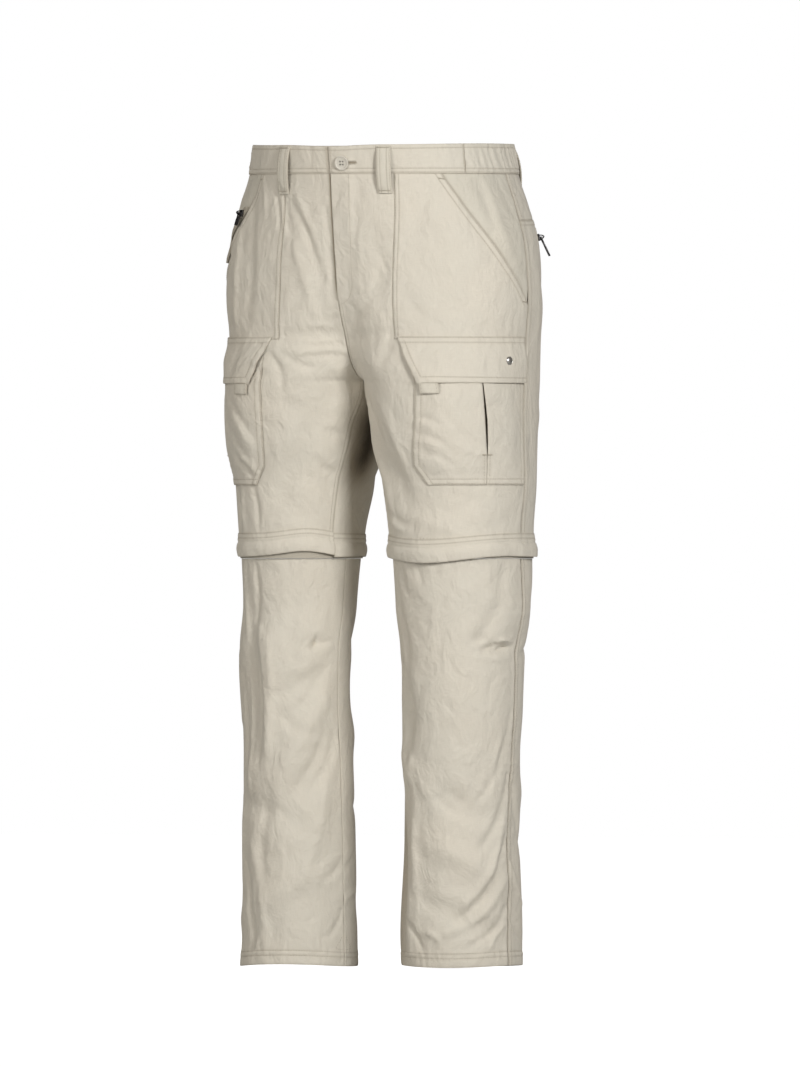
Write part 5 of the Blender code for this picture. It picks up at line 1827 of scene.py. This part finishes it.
@dataclass
class LowerLeg:
    """The zip-off leg: front and back, with a turned and twice stitched hem."""

    side: Side

    def hem(self, way: Array) -> Array:
        """Level of the hem's lower edge."""
        return HEM + 1.5 * np.sin(np.asarray(way, float) * 2 * math.pi + self.side.value)

    def rise(self, way: Array, level: Array) -> Array:
        """The hem is one layer thicker, and the cloth gathers a little under the knee band."""
        turned = 0.6 * ramp(-level, -HEM - HEM_TURN - 2.0, -HEM - HEM_TURN + 0.5)
        tucks = 0.5 * waver(way * WAY_LENGTH, 17.0, 2.0 + self.side.value) * ramp(level, -545.0, -500.0)
        return turned + tucks

    def inner_shade(self, way: Array, level: Array) -> Array:
        """The inside of the leg falls into shade towards the hem."""
        return 0.80 * (1 - ramp(way, 0.12, 0.36)) * ramp(-level, 770.0, 850.0)

    def part(self, word: str, start: int) -> CutPiece:
        """The front or back of the leg.

        Args:
            word: Its name's last word.
            start: The way that it starts at.

        Returns:
            The piece.
        """
        near_hem = (0.0, 0.5, 1.5, 4.0, 7.5, 10.7, 11.5, 12.3, 14.5, 16.7, 17.5, 18.3, 20.5)
        level = between(KNEE_ZIP_BOTTOM - 0.3, HEM, SPARSE, near_hem)[:, None]
        edges = start * WAY_LENGTH + HALF_GAP, (start + 1) * WAY_LENGTH - HALF_GAP
        way = between(*edges, NEAR, NEAR)[None] / WAY_LENGTH
        level = level + (self.hem(way) - HEM) * np.clip(1 - (level - HEM) / 70.0, 0, 1)
        low, high = HEM, KNEE_ZIP_BOTTOM
        hem = Edge((11.5, 17.5), dip=0.5, pucker=0.6, spread=30.0, pitch=9.0, ladder=0.5,
                   seed=3.0 * start + self.side.value)
        side_edge = varied(PLAIN, pucker=0.75, pitch=13.0, spread=18.0, seed=5.0 + self.side.value, dip=0.8)
        felled = varied(FELLED, pucker=0.75, pitch=13.0, spread=18.0, ladder=0.4, seed=5.0 + self.side.value)
        inseam = varied(PLAIN, pucker=0.4, pitch=15.0, dip=0.8, seed=7.0 + self.side.value)
        seams = [Seam(hem, self.hem, False, 1, (float(start), start + 1.0))]
        if start == 0:
            seams += [Seam(inseam, along_way(WAY_GAP), True, 1, (low, high)),
                      Seam(side_edge, along_way(1 - WAY_GAP), True, -1, (low, high))]
        else:
            seams += [Seam(felled, along_way(1 + WAY_GAP), True, 1, (low, high)),
                      Seam(inseam, along_way(2 - WAY_GAP), True, -1, (low, high))]
        piece = CutPiece(f"{self.side.word}_lower_{word}", LOWER[self.side], way, level, seams, self.rise,
                         hangs_from=(f"{self.side.word}_knee_zip",))
        if self.side is Side.LEFT:
            piece.darker = self.inner_shade
        if start == 0:
            piece.runs = [[(0.02, HEM + 36), (0.075, HEM + 21), (0.004, HEM + 19)],
                          [(0.004, -730), (0.03, -732)]]
        else:
            piece.runs = [[(1.99, HEM + 36), (1.94, HEM + 21), (1.996, HEM + 19)]]
        return piece

    def build(self) -> None:
        """Builds the leg's pieces."""
        for word, start in (("front", 0), ("back", 1)):
            self.part(word, start).build()


def band_top(way: Array) -> Array:
    """The waistband's top edge: a little lower at the fly than over the hips."""
    way = np.asarray(way, float)
    over_hip = 1.6 * ramp(way, 0.35, 0.9) * (1 - ramp(way, 1.3, 2.0))
    return BAND_TOP - 2.0 * (1 - ramp(way, 0.0, 0.35)) + over_hip


@dataclass
class BandPiece:
    """A stretch of waistband, on one or both halves."""

    name: str
    stretches: list[tuple[Side, Array]]
    lift: Callable[[Array], Array] = field(default_factory=lambda: along_way(0.0))
    gathers: float = 0.0
    ends: tuple[Seam, ...] = ()
    darker: Rise = field(default_factory=lambda: level_at(0.0))
    hold: Hold = Hold.FOLDED
    sewing: Sewing = field(default_factory=Sewing)

    def seams(self, low: float, high: float) -> list[Seam]:
        """The band's long seams over a stretch of ways."""
        foot = Edge((1.4, 6.2), rise=0.25, dip=0.5, pucker=0.2, ladder=0.12, seed=1.0)
        head = Edge((5.0,), dip=0.55, pucker=0.25, seed=2.0)
        return [Seam(foot, along_way(BAND_BOTTOM), False, 1, (low, high)),
                Seam(head, band_top, False, -1, (low, high)), *self.ends]

    def relief(self, way: Array, level: Array, seams: list[Seam]) -> Array:
        """Height of the band off the garment's form.

        Args:
            way: Ways of the places.
            level: Their levels.
            seams: The seams that shape it.

        Returns:
            The heights in mm.
        """
        height = BAND_RISE + self.lift(way) + 0.0 * level
        if self.gathers:
            inside = (ramp(level, BAND_BOTTOM + 4.0, BAND_BOTTOM + 10.0)
                      * ramp(-level, -BAND_TOP + 2.0, -BAND_TOP + 7.0))
            run = way * WAY_LENGTH + 0.10 * level + 1.5 * np.sin(level * 0.16)
            height = height + self.gathers * (0.3 + 0.7 * inside) * waver(run, 10.5, 2.0)
            height = height + 0.35 * self.gathers * inside * waver(run + 0.5 * level, 5.3, 4.0)
        for seam in seams:
            height = height + seam.relief(way, level)
        return height

    def build(self) -> bpy.types.Object:
        """Builds the stretch with its stitches, in place of its CAD node."""
        share = np.concatenate([np.array([0, 0.6, 1.4, 2.2, 3.6, 5.2, 6.2, 7.2]) / 36.0,
                                np.linspace(0.25, 0.78, 8),
                                1 - np.array([6.2, 5.0, 3.9, 2.2, 1.0, 0.4, 0]) / 36.0])
        parts: list[list[Array]] = [[], [], [], []]
        for side, way in self.stretches:
            way = np.broadcast_to(way, (len(share), way.shape[-1]))
            level = BAND_BOTTOM + (band_top(way) - BAND_BOTTOM) * share[:, None]
            seams = self.seams(float(way.min()), float(way.max()))
            relief = self.relief(way, level, seams)
            outer, inner = UPPER[side].points(way, level, relief, relief - 2.0)
            flat_way = way if side is Side.LEFT else 4.0 - way
            shade = self.darker(way, level)
            for seam in seams:
                shade = np.maximum(shade, seam.shade(way, level))
            for kept, made in zip(parts, (outer, inner, np.stack([flat_way * WAY_LENGTH, level], -1), shade)):
                kept.append(made)
            self.lay(UPPER[side], seams)
        shell = Shell(*(np.concatenate(kept, axis=1) for kept in parts))
        obj = dress(self.name + "_cloth", shell.mesh(self.name + "_cloth"), CLOTH)
        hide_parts(self.name)
        stitches = self.sewing.make(self.name + "_stitches", SEWING)
        declare(obj, self.name, shell)
        return obj

    def lay(self, half: Half, seams: list[Seam]) -> None:
        """Lays the stitches of one stretch.

        Args:
            half: The garment's half.
            seams: Its seams.
        """
        for seam in seams:
            for path in seam.runs():
                way, level = fine_path(path)
                height = self.relief(way, level, seams)
                points, above = half.points(way, level, height + 0.12, height + 1.12)
                self.sewing.along(points, above - points)


BUTTON_PLACE = (0.087, -3.5)


@dataclass
class Waistband:
    """The waistband: two fronts, two elastic side pieces and a back."""

    def ways(self, start: float, end: float, step: float = STEP) -> Array:
        """Ways of a stretch's lines."""
        return between(start * WAY_LENGTH, end * WAY_LENGTH, SPARSE, SPARSE, step)[None] / WAY_LENGTH

    def buttonhole_shade(self, way: Array, level: Array) -> Array:
        """The dark slit of the buttonhole."""
        start, end = BUTTON_PLACE[0] + 0.02, BUTTON_PLACE[0] + 0.085
        inside = ramp(way, start, start + 0.003) * ramp(-way, -end, -end + 0.003)
        return 1.8 * inside * bump(level, BUTTON_PLACE[1], 0.9)

    def fly_step(self, way: Array) -> Array:
        """The folded fly lifts the left front's end."""
        return FLY_RISE * (1 - ramp(way, FLY_WIDTH_WAY, FLY_WIDTH_WAY + 0.03))

    def underlap_drop(self, way: Array) -> Array:
        """The right front's underlap lies lower, behind the left front."""
        return -UNDERLAP_DROP * (1 - ramp(way, 0.0, 0.02))

    def overlap_shade(self, way: Array, level: Array) -> Array:
        """The right front is in the dark beside the left front's free end."""
        return 1.1 * bump(way * WAY_LENGTH, 2.0, 3.6) + 0.0 * level

    def build(self) -> None:
        """Builds the pieces in order round the waist."""
        ahead, behind = ELASTIC_WAYS
        free_end = Seam(Edge((3.0,), dip=0.6), along_way(WAY_GAP), True, 1, (BAND_BOTTOM, BAND_TOP - 2))
        joined = Seam(Edge((1.4,), dip=0.7), along_way(ahead - WAY_GAP), True, -1, (BAND_BOTTOM, BAND_TOP))
        left = BandPiece("waistband_left", [(Side.LEFT, self.ways(WAY_GAP, ahead - WAY_GAP))],
                         self.fly_step, ends=(free_end, joined), darker=self.buttonhole_shade)
        self.buttonhole(left)
        left.build()
        under = self.ways(-0.122, -0.005)
        right = np.concatenate([under, self.ways(0.02, ahead - WAY_GAP)], axis=1)
        BandPiece("waistband_right", [(Side.RIGHT, right)], self.underlap_drop, ends=(joined,),
                  darker=self.overlap_shade).build()
        for side in Side:
            ways = self.ways(ahead + WAY_GAP, behind - WAY_GAP, 2.2)
            BandPiece(f"waistband_elastic_{side.word}", [(side, ways)], gathers=1.9,
                      hold=Hold.GATHERED).build()
        back = self.ways(behind + WAY_GAP, 2.0)
        BandPiece("waistband_back", [(Side.LEFT, back), (Side.RIGHT, back[:, ::-1][:, 1:])]).build()

    def buttonhole(self, band: BandPiece) -> None:
        """Close satin stitches round the buttonhole's slit.

        Args:
            band: The band that they lie on.
        """
        half, seams = UPPER[Side.LEFT], []
        start, end = BUTTON_PLACE[0] + 0.022, BUTTON_PLACE[0] + 0.083
        for sense in (-1, 1):
            for way in np.arange(start, end, 0.9 / WAY_LENGTH):
                ends = []
                for far in (0.5, 2.3):
                    level = BUTTON_PLACE[1] + sense * far
                    height = band.relief(np.array(way), np.array(level), seams)
                    ends.append(half.points(way, level, height + 0.2, height + 1.2))
                band.sewing.bar(ends[0][0], ends[1][0], ends[0][1] - ends[0][0])


@dataclass
class FlyShield:
    """The strip behind the fly opening, held to the right front."""

    def build(self) -> None:
        """Builds the shield."""
        bottom, start, end = FLY_BOTTOM + 4, -0.15, 0.09
        level = between(BAND_BOTTOM - 0.3, bottom, SPARSE, SPARSE)[:, None]
        way = between(start * WAY_LENGTH, end * WAY_LENGTH, SPARSE, SPARSE)[None] / WAY_LENGTH
        seams = [Seam(Edge((3.0,), dip=0.3), along_way(start), True, 1, (bottom, BAND_BOTTOM))]
        CutPiece("fly_shield", UPPER[Side.RIGHT], way, level, seams, level_at(-(WALL + LAY_GAP)),
                 level_at(1.0), finish=FACING, hangs_from=("waistband_right",)).build()


@dataclass
class BeltLoop:
    """A folded strip tacked above and below the band, bowed out between."""

    name: str
    side: Side
    way: float
    slant: float
    bottom: float
    bulge: float
    width: float = 17.0
    top: float = 17.0
    spread: float = 1.18

    def middle(self, level: Array) -> Array:
        """Way of the loop's middle at a level."""
        return self.way + self.slant * (self.top - np.asarray(level, float)) / (self.top - self.bottom)

    def rise(self, way: Array, level: Array) -> Array:
        """The loop stands off the band between its tacks."""
        share = (self.top - level) / (self.top - self.bottom)
        bow = np.sin(math.pi * np.clip((share - 0.06) / 0.88, 0, 1)) ** 0.7
        across = (way - self.middle(level)) * WAY_LENGTH / (self.width * self.spread / 2)
        return BAND_RISE + LAY_GAP + 1.85 + self.bulge * bow - 0.5 * across**2

    def build(self) -> None:
        """Builds the loop with its two rows and its tacks."""
        level = np.linspace(self.top, self.bottom, 46)[:, None]
        half_way = self.width * self.spread / 2 / WAY_LENGTH
        left, right = self.middle(level) - half_way, self.middle(level) + half_way
        near = (0, 0.4, 1.1, 2.4, 3.8, 4.6, 5.4)
        way = spread(left * WAY_LENGTH, right * WAY_LENGTH, near, near, step=2.0) / WAY_LENGTH
        edge = Edge((1.8, 5.6), rise=0.0, dip=0.75)
        span = (self.bottom, self.top)
        seams = [Seam(edge, shifted(self.middle, -sense * half_way), True, sense, span) for sense in (1, -1)]
        piece = CutPiece(self.name, UPPER[self.side], way, level, seams, self.rise, level_at(1.4),
                         hold=Hold.FOLDED, finish=TRIM, hangs_from=("trousers",))
        for tack in (self.top - 1.5, self.bottom + 3.0):
            middle = float(self.middle(tack))
            bar_tack(piece, (middle - half_way * 0.8, tack), (middle + half_way * 0.8, tack), 1.6, 13)
        piece.build()


def local_axes(half: Half, way: float, level: float, off: float) -> tuple[Array, Array, Array, Array]:
    """A spot off the cloth, with its outward, downward and sideways unit directions.

    Args:
        half: The garment's half.
        way: The spot's way.
        level: Its level.
        off: How far off the garment's form it is, in mm.

    Returns:
        The spot, and the three directions.
    """
    spot, above = half.points(way, level, off, off + 1.0)
    below = half.points(way, level - 2.0, off)[0]
    out = above - spot
    out = out / np.linalg.norm(out)
    down = below - spot
    down = down - out * np.dot(out, down)
    down = down / np.linalg.norm(down)
    return spot, out, down, np.cross(down, out)


def place_mesh(obj: bpy.types.Object, across: Array, along: Array, out: Array, spot: Array) -> None:
    """Turns and moves an object's mesh from its own millimetres to its place, and mends its normals.

    Args:
        obj: The object.
        across: Where its x looks.
        along: Where its y looks.
        out: Where its z looks.
        spot: Its place in mm.
    """
    columns = [*zip(across, along, out, [value * MM for value in spot])]
    obj.data.transform(Matrix([*columns, (0, 0, 0, 1)]))
    tidy = bmesh.new()
    tidy.from_mesh(obj.data)
    bmesh.ops.remove_doubles(tidy, verts=tidy.verts[:], dist=1e-6)
    bmesh.ops.recalc_face_normals(tidy, faces=tidy.faces[:])
    tidy.to_mesh(obj.data)
    tidy.free()
    deselect()
    obj.select_set(True)
    bpy.context.view_layer.objects.active = obj
    bpy.ops.object.shade_smooth_by_angle(angle=math.radians(40))
    obj.select_set(False)


def deselect() -> None:
    """Deselects every object."""
    bpy.ops.object.select_all(action="DESELECT")


def start_primitive(name: str, scale: tuple[float, float, float]) -> bpy.types.Object:
    """Names the primitive just added and applies a scale in mm to it."""
    obj = bpy.context.object
    obj.name = name
    obj.scale = scale
    bpy.ops.object.transform_apply(location=True, rotation=True, scale=True)
    return obj


def apply_bevel(obj: bpy.types.Object, width: float, segments: int = 2, angle: float = 35.0) -> None:
    """Rounds an object's edges with a bevel, in mm, and applies it."""
    bpy.context.view_layer.objects.active = obj
    change = obj.modifiers.new("rounding", "BEVEL")
    change.width, change.segments = width * MM, segments
    change.limit_method, change.angle_limit = "ANGLE", math.radians(angle)
    bpy.ops.object.modifier_apply(modifier=change.name)


def apply_boolean(obj: bpy.types.Object, other: bpy.types.Object, operation: str) -> None:
    """Joins or cuts an object with another, which is then dropped.

    Args:
        obj: The object that is kept.
        other: The other one.
        operation: The modifier's name for it, UNION or DIFFERENCE.
    """
    deselect()
    bpy.context.view_layer.objects.active = obj
    obj.select_set(True)
    change = obj.modifiers.new("cut", "BOOLEAN")
    change.operation, change.object, change.solver = operation, other, "EXACT"
    bpy.ops.object.modifier_apply(modifier=change.name)
    bpy.data.objects.remove(other, do_unlink=True)


@dataclass
class Coil:
    """A row of moulded teeth along a zip."""

    name: str
    half: Half
    way: Array
    level: Array
    off: float
    pitch: float = 2.0
    tooth: tuple[float, float, float] = (4.2, 1.3, 0.9)

    def build(self) -> bpy.types.Object:
        """Models one tooth and copies it along the zip."""
        deselect()
        bpy.ops.mesh.primitive_cube_add(size=1.0)
        tooth = start_primitive("tooth", tuple(size * MM for size in self.tooth))
        apply_bevel(tooth, 0.28, 1)
        shape = np.array([v.co for v in tooth.data.vertices]) / MM
        faces = [tuple(face.vertices) for face in tooth.data.polygons]
        bpy.data.objects.remove(tooth, do_unlink=True)
        points, above = self.half.points(self.way, self.level, self.off, self.off + 1.0)
        out = above - points
        run = np.concatenate([[0.0], np.cumsum(np.linalg.norm(np.diff(points, axis=0), axis=1))])
        at = np.arange(self.pitch / 2, run[-1], self.pitch)
        centre, face = along_run(at, run, points), along_run(at, run, out)
        along = along_run(at + 0.5, run, points) - along_run(at - 0.5, run, points)
        along /= np.linalg.norm(along, axis=-1, keepdims=True)
        side = np.cross(along, face)
        side /= np.linalg.norm(side, axis=-1, keepdims=True)
        up = np.cross(side, along)
        axes = np.stack([side, along, up], axis=1)
        return dress(self.name, copies(self.name, shape, faces, axes, centre), COIL)


@dataclass
class PocketZip:
    """A pocket zip: tape, coil, slider and pull tab."""

    name: str
    side: Side
    start: Place
    end: Place
    width: float
    length: float
    lean: float
    slider_down: float = 0.12
    tape_thick: float = 1.2
    clear: float = 0.6

    def at(self, share: Array) -> tuple[Array, Array]:
        """Way and level a share of the way down the zip."""
        return (self.start[0] + (self.end[0] - self.start[0]) * share,
                self.start[1] + (self.end[1] - self.start[1]) * share)

    def tape(self) -> CutPiece:
        """The strip of tape."""
        share = np.linspace(0, 1, 44)[:, None]
        across = np.linspace(-0.5, 0.5, 15) * self.width / WAY_LENGTH
        way, level = self.at(share)
        half_way = self.width / 2 / WAY_LENGTH
        edge, span = Edge((1.6,), dip=0.3), (self.end[1], self.start[1])
        seams = [Seam(edge, shifted(self.middle, -sense * half_way), True, sense, span) for sense in (1, -1)]
        return CutPiece(f"{self.name}_zip_tape", UPPER[self.side], way + across, level + 0 * across, seams,
                        level_at(LAY_GAP + self.tape_thick - 0.25), level_at(0.6), finish=TAPE,
                        hangs_from=(f"{self.side.word}_back",))

    def middle(self, level: Array) -> Array:
        """Way of the zip's middle at a level."""
        (start_way, start), (end_way, end) = self.start, self.end
        return start_way + (end_way - start_way) * (level - start) / (end - start)

    def slider(self, axes: tuple[Array, Array, Array, Array]) -> None:
        """A slider body with a bridge over it.

        Args:
            axes: Its spot, and its outward, downward and sideways directions.
        """
        spot, out, down, across = axes
        deselect()
        bpy.ops.mesh.primitive_cube_add(size=1.0)
        body = start_primitive(f"{self.name}_zip_slider_body", (8 * MM, 9 * MM, 2.4 * MM))
        body.data.transform(Matrix.Translation((0, 0, 1.2 * MM)))
        for v in body.data.vertices:
            if v.co.y < 0:
                v.co.x *= 0.82
        apply_bevel(body, 0.8, 3)
        deselect()
        bpy.ops.mesh.primitive_torus_add(major_radius=2.2 * MM, minor_radius=0.55 * MM, major_segments=24,
                                         minor_segments=8, rotation=(0, math.pi / 2, 0))
        bridge = start_primitive("bridge", (2.1, 1.15, 1.15))
        bridge.data.transform(Matrix.Translation((0, 0, 2.9 * MM)))
        apply_boolean(body, bridge, "UNION")
        place_mesh(body, across, down, out, spot)
        dress_object(body, DARK_METAL)
        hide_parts(f"{self.name}_zip_slider")

    def pull(self, axes: tuple[Array, Array, Array, Array]) -> None:
        """A pull tab with an eye at its top and a waist above its grip.

        Args:
            axes: Its spot, and its outward, downward and sideways directions.
        """
        spot, out, down, across = axes
        turn = math.radians(self.lean)
        along = down * math.cos(turn) + out * math.sin(turn)
        face = out * math.cos(turn) - down * math.sin(turn)
        deselect()
        bpy.ops.mesh.primitive_cube_add(size=1.0)
        tab = start_primitive(f"{self.name}_zip_pull_tab", (8 * MM, self.length * MM, 1.3 * MM))
        bpy.ops.object.mode_set(mode="EDIT")
        bpy.ops.mesh.select_all(action="SELECT")
        bpy.ops.mesh.subdivide(number_cuts=7)
        bpy.ops.object.mode_set(mode="OBJECT")
        for v in tab.data.vertices:
            share = v.co.y / (self.length * MM) + 0.5
            v.co.x *= 1 - 0.22 * math.exp(-(((share - 0.36) / 0.12) ** 2)) - 0.1 * share**8
            v.co.z *= 1 - 0.35 * math.exp(-(((share - 0.7) / 0.17) ** 2)) * (abs(v.co.x) < 2.6 * MM)
        tab.data.transform(Matrix.Translation((0, (self.length / 2 - 0.65) * MM, 0)))
        deselect()
        bpy.ops.mesh.primitive_cylinder_add(vertices=20, radius=2.1 * MM, depth=6 * MM,
                                            location=(0, 2.85 * MM, 0))
        eye = start_primitive("eye", (1.0, 1.05, 1.0))
        apply_boolean(tab, eye, "DIFFERENCE")
        apply_bevel(tab, 0.25, 2, 50.0)
        place_mesh(tab, across, along, face, spot + out * 3.7)
        dress_object(tab, DARK_METAL, self.name + "_pull")
        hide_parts(f"{self.name}_zip_pull")

    def build(self) -> None:
        """Builds the zip's pieces."""
        self.tape().build()
        way, level = self.at(np.linspace(0.01, 0.99, 120))
        Coil(f"{self.name}_zip_coil", UPPER[self.side], way, level, LAY_GAP + self.tape_thick).build()
        way, level = self.at(self.slider_down)
        axes = local_axes(UPPER[self.side], way, level, LAY_GAP + self.tape_thick + self.clear)
        self.slider(axes)
        self.pull(axes)


@dataclass
class Button:
    """The four-hole waist button with its thread."""

    radius: float = 9.2
    height: float = 3.0
    hole: float = 1.15
    spacing: float = 1.9

    def build(self) -> None:
        """Builds the button and the near-black thread through its holes, which also paints the shade in the
        holes.
        """
        spot, out, down, across = local_axes(UPPER[Side.LEFT], *BUTTON_PLACE, BAND_RISE + FLY_RISE + 0.3)
        deselect()
        bpy.ops.mesh.primitive_cylinder_add(vertices=56, radius=self.radius * MM, depth=self.height * MM)
        disc = start_primitive("waist_button_disc", (1, 1, 1))
        disc.data.transform(Matrix.Translation((0, 0, self.height / 2 * MM)))
        bpy.ops.object.mode_set(mode="EDIT")
        bpy.ops.mesh.select_mode(type="FACE")
        bpy.ops.mesh.select_all(action="DESELECT")
        bpy.ops.object.mode_set(mode="OBJECT")
        for face in disc.data.polygons:
            face.select = face.normal.z > 0.9
        bpy.ops.object.mode_set(mode="EDIT")
        for thickness, depth in ((1.7, 0.0), (0.5, -0.65), (3.4, -0.1)):
            bpy.ops.mesh.inset(thickness=thickness * MM, depth=depth * MM)
        bpy.ops.object.mode_set(mode="OBJECT")
        apply_bevel(disc, 0.4, 3, 25.0)
        apart = self.spacing * MM
        for x in (-1, 1):
            for y in (-1, 1):
                deselect()
                bpy.ops.mesh.primitive_cylinder_add(vertices=14, radius=self.hole * MM, depth=12 * MM,
                                                    location=(x * apart, y * apart, 0))
                apply_boolean(disc, start_primitive("hole", (1, 1, 1)), "DIFFERENCE")
        place_mesh(disc, across, down, out, spot)
        dress_object(disc, MOULDED)
        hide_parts("waist_button")
        # Thick near-black thread posts in the holes, which also paint the holes' shade
        thread = Sewing(Thread(thick=2.1))
        for x in (-1, 1):
            for y in (-1, 1):
                foot = spot + across * x * self.spacing + down * y * self.spacing
                thread.bar(foot + out * 0.1, foot + out * 1.9, across)
        made = thread.make("waist_button_thread", HOLE_SHADE_THREAD)
        LOG.info("%s and %s", disc.name, made.name if made else "no thread")


@dataclass
class Stud:
    """A plain domed stud on the left flap."""

    place: Place = (0.86, -251.0)
    radius: float = 5.2
    height: float = 2.4

    def build(self) -> None:
        """Builds the stud."""
        spot, out, down, across = local_axes(UPPER[Side.LEFT], *self.place, LAY_GAP + WALL + FLAP_LIFT - 0.6)
        deselect()
        bpy.ops.mesh.primitive_uv_sphere_add(segments=40, ring_count=24, radius=self.radius * MM)
        dome = start_primitive("flap_stud_dome", (1, 1, self.height * 1.3 / self.radius))
        bpy.ops.object.mode_set(mode="EDIT")
        bpy.ops.mesh.select_all(action="SELECT")
        cut = self.height * 0.3 * MM
        bpy.ops.mesh.bisect(plane_co=(0, 0, cut), plane_no=(0, 0, 1), clear_inner=True, use_fill=True)
        bpy.ops.object.mode_set(mode="OBJECT")
        dome.data.transform(Matrix.Translation((0, 0, -cut)))
        deselect()
        bpy.ops.mesh.primitive_torus_add(major_radius=(self.radius - 0.35) * MM, minor_radius=0.45 * MM,
                                         major_segments=40, minor_segments=10, location=(0, 0, 0.45 * MM))
        apply_boolean(dome, start_primitive("rim", (1, 1, 1)), "UNION")
        place_mesh(dome, across, down, out, spot + out * 0.3)
        dress_object(dome, PALE_METAL)
        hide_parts("flap_stud")


@dataclass(frozen=True)
class Studio:
    """A pale floor, soft lights and the camera of the photograph."""

    floor_level: float = -1.0115
    turn: float = 30.0
    distance: float = 40.0
    aim_level: float = -0.4669
    aim_shift: float = 0.020
    frame_height: float = 1.337

    def floor(self) -> None:
        """A wide pale floor just under the hems."""
        deselect()
        bpy.ops.mesh.primitive_plane_add(size=30.0, location=(0, 0, self.floor_level))
        plane = bpy.context.object
        bpy.ops.object.transform_apply(location=True, rotation=True, scale=True)
        plane.name = "studio_floor"
        paint = bpy.data.materials.new("pale floor")
        paint.use_nodes = True
        shader = paint.node_tree.nodes["Principled BSDF"]
        shader.inputs["Base Color"].default_value = (0.42, 0.42, 0.41, 1.0)
        shader.inputs["Roughness"].default_value = 0.8
        shader.inputs["Emission Color"].default_value = (1.0, 1.0, 1.0, 1.0)
        seen = node(paint.node_tree, "LightPath").outputs["Is Camera Ray"]
        glow = maths(paint.node_tree, "MULTIPLY", seen, 0.96)
        paint.node_tree.links.new(glow, shader.inputs["Emission Strength"])
        plane.data.materials.append(paint)

    def lamp(self, name: str, place: Place3, aim: Place3, size: float, power: float, colour: Colour) -> None:
        """A square soft light at a place, turned to a point.

        Args:
            name: Its name.
            place: Where it stands, in metres.
            aim: Where it looks.
            size: Its side in metres.
            power: Its power in watts.
            colour: Its colour.
        """
        light = bpy.data.lights.new(name, "AREA")
        light.shape, light.size, light.energy, light.color = "SQUARE", size, power, colour
        obj = bpy.data.objects.new(name, light)
        bpy.context.scene.collection.objects.link(obj)
        obj.location = place
        obj.rotation_euler = (Vector(aim) - Vector(place)).to_track_quat("-Z", "Y").to_euler()

    def around(self, azimuth: float, elevation: float, distance: float, level: float) -> Place3:
        """A point at a distance from the trousers, in a direction given in degrees."""
        turn, rise = math.radians(azimuth), math.radians(elevation)
        return (distance * math.sin(turn) * math.cos(rise), -distance * math.cos(turn) * math.cos(rise),
                level + distance * math.sin(rise))

    def lights(self) -> None:
        """A bright world behind, and soft lamps round the front."""
        world = bpy.data.worlds.new("studio")
        bpy.context.scene.world = world
        world.use_nodes = True
        tree = world.node_tree
        seen = node(tree, "LightPath").outputs["Is Camera Ray"]
        strength = spread_between(tree, seen, 0.0, 1.0, 0.19, 1.0)
        background = tree.nodes["Background"]
        tree.links.new(mixed(tree, seen, (1.0, 0.94, 0.86), (1.0, 1.0, 1.0)), background.inputs["Color"])
        tree.links.new(strength, background.inputs["Strength"])
        aim = (0.0, 0.0, -0.45)
        self.lamp("key lamp", self.around(58, 18, 4.0, -0.45), (0.0, 0.0, -0.5), 0.9, 102.0, (1.0, 1.0, 1.0))
        self.lamp("fill lamp", self.around(-12, 12, 3.2, -0.25), (0.0, 0.0, -0.35), 1.6, 38.0,
                  (1.0, 0.98, 0.95))
        self.lamp("rear lamp", self.around(215, 25, 3.2, -0.3), aim, 2.0, 34.0, (1.0, 1.0, 1.0))

    def camera(self) -> None:
        """The camera of the photograph, far off with a long lens."""
        made = bpy.data.cameras.new("camera")
        made.sensor_fit, made.sensor_height = "VERTICAL", 36.0
        made.lens = made.sensor_height * self.distance / self.frame_height
        made.clip_end = 200.0
        camera = bpy.data.objects.new("camera", made)
        bpy.context.scene.collection.objects.link(camera)
        turn = math.radians(self.turn)
        aim = Vector((math.cos(turn), math.sin(turn), 0)) * self.aim_shift + Vector((0, 0, self.aim_level))
        camera.location = aim + Vector((math.sin(turn), -math.cos(turn), 0)) * self.distance
        camera.rotation_euler = (math.pi / 2, 0, turn)
        bpy.context.scene.camera = camera

    def build(self) -> None:
        """Sets up the studio."""
        self.floor()
        self.lights()
        self.camera()
        bpy.context.scene.view_settings.view_transform = "Standard"


LOOPS = (
    BeltLoop("belt_loop_front_left", Side.LEFT, 0.33, 0.012, -42.0, 4.8),
    BeltLoop("belt_loop_front_right", Side.RIGHT, 0.31, 0.03, -42.0, 4.8),
    BeltLoop("belt_loop_side_left", Side.LEFT, 1.34, 0.0, -34.0, 4.2),
    BeltLoop("belt_loop_side_right", Side.RIGHT, 1.34, 0.0, -34.0, 4.2),
    BeltLoop("belt_loop_back", Side.LEFT, 2.0, 0.0, -42.0, 4.8),
)
ZIPS = (
    PocketZip("left_back", Side.LEFT, (1.27, -84.0), (1.33, -190.0), 14.0, 27.0, 14.0),
    PocketZip("right_back", Side.RIGHT, (1.27, -84.0), (1.33, -190.0), 14.0, 27.0, 8.0),
    PocketZip("right_hand", Side.RIGHT, (0.642, -58.0), (0.852, -128.0), 12.0, 17.0, 6.0),
)


def main() -> None:
    """Builds every sub-assembly in order, sets up the studio and logs the flat cuts."""
    logging.basicConfig(level=logging.INFO, format="%(message)s")
    for side in Side:
        for part in (Hips(side), CargoPocket(side), Knee(side), LowerLeg(side)):
            part.build()
    for part in (Waistband(), FlyShield(), *LOOPS, *ZIPS, Button(), Stud()):
        part.build()
    Studio().build()
    for name, measured in MEASURED.items():
        LOG.info("flat %s %s", name, measured)


if __name__ == "__main__":
    main()
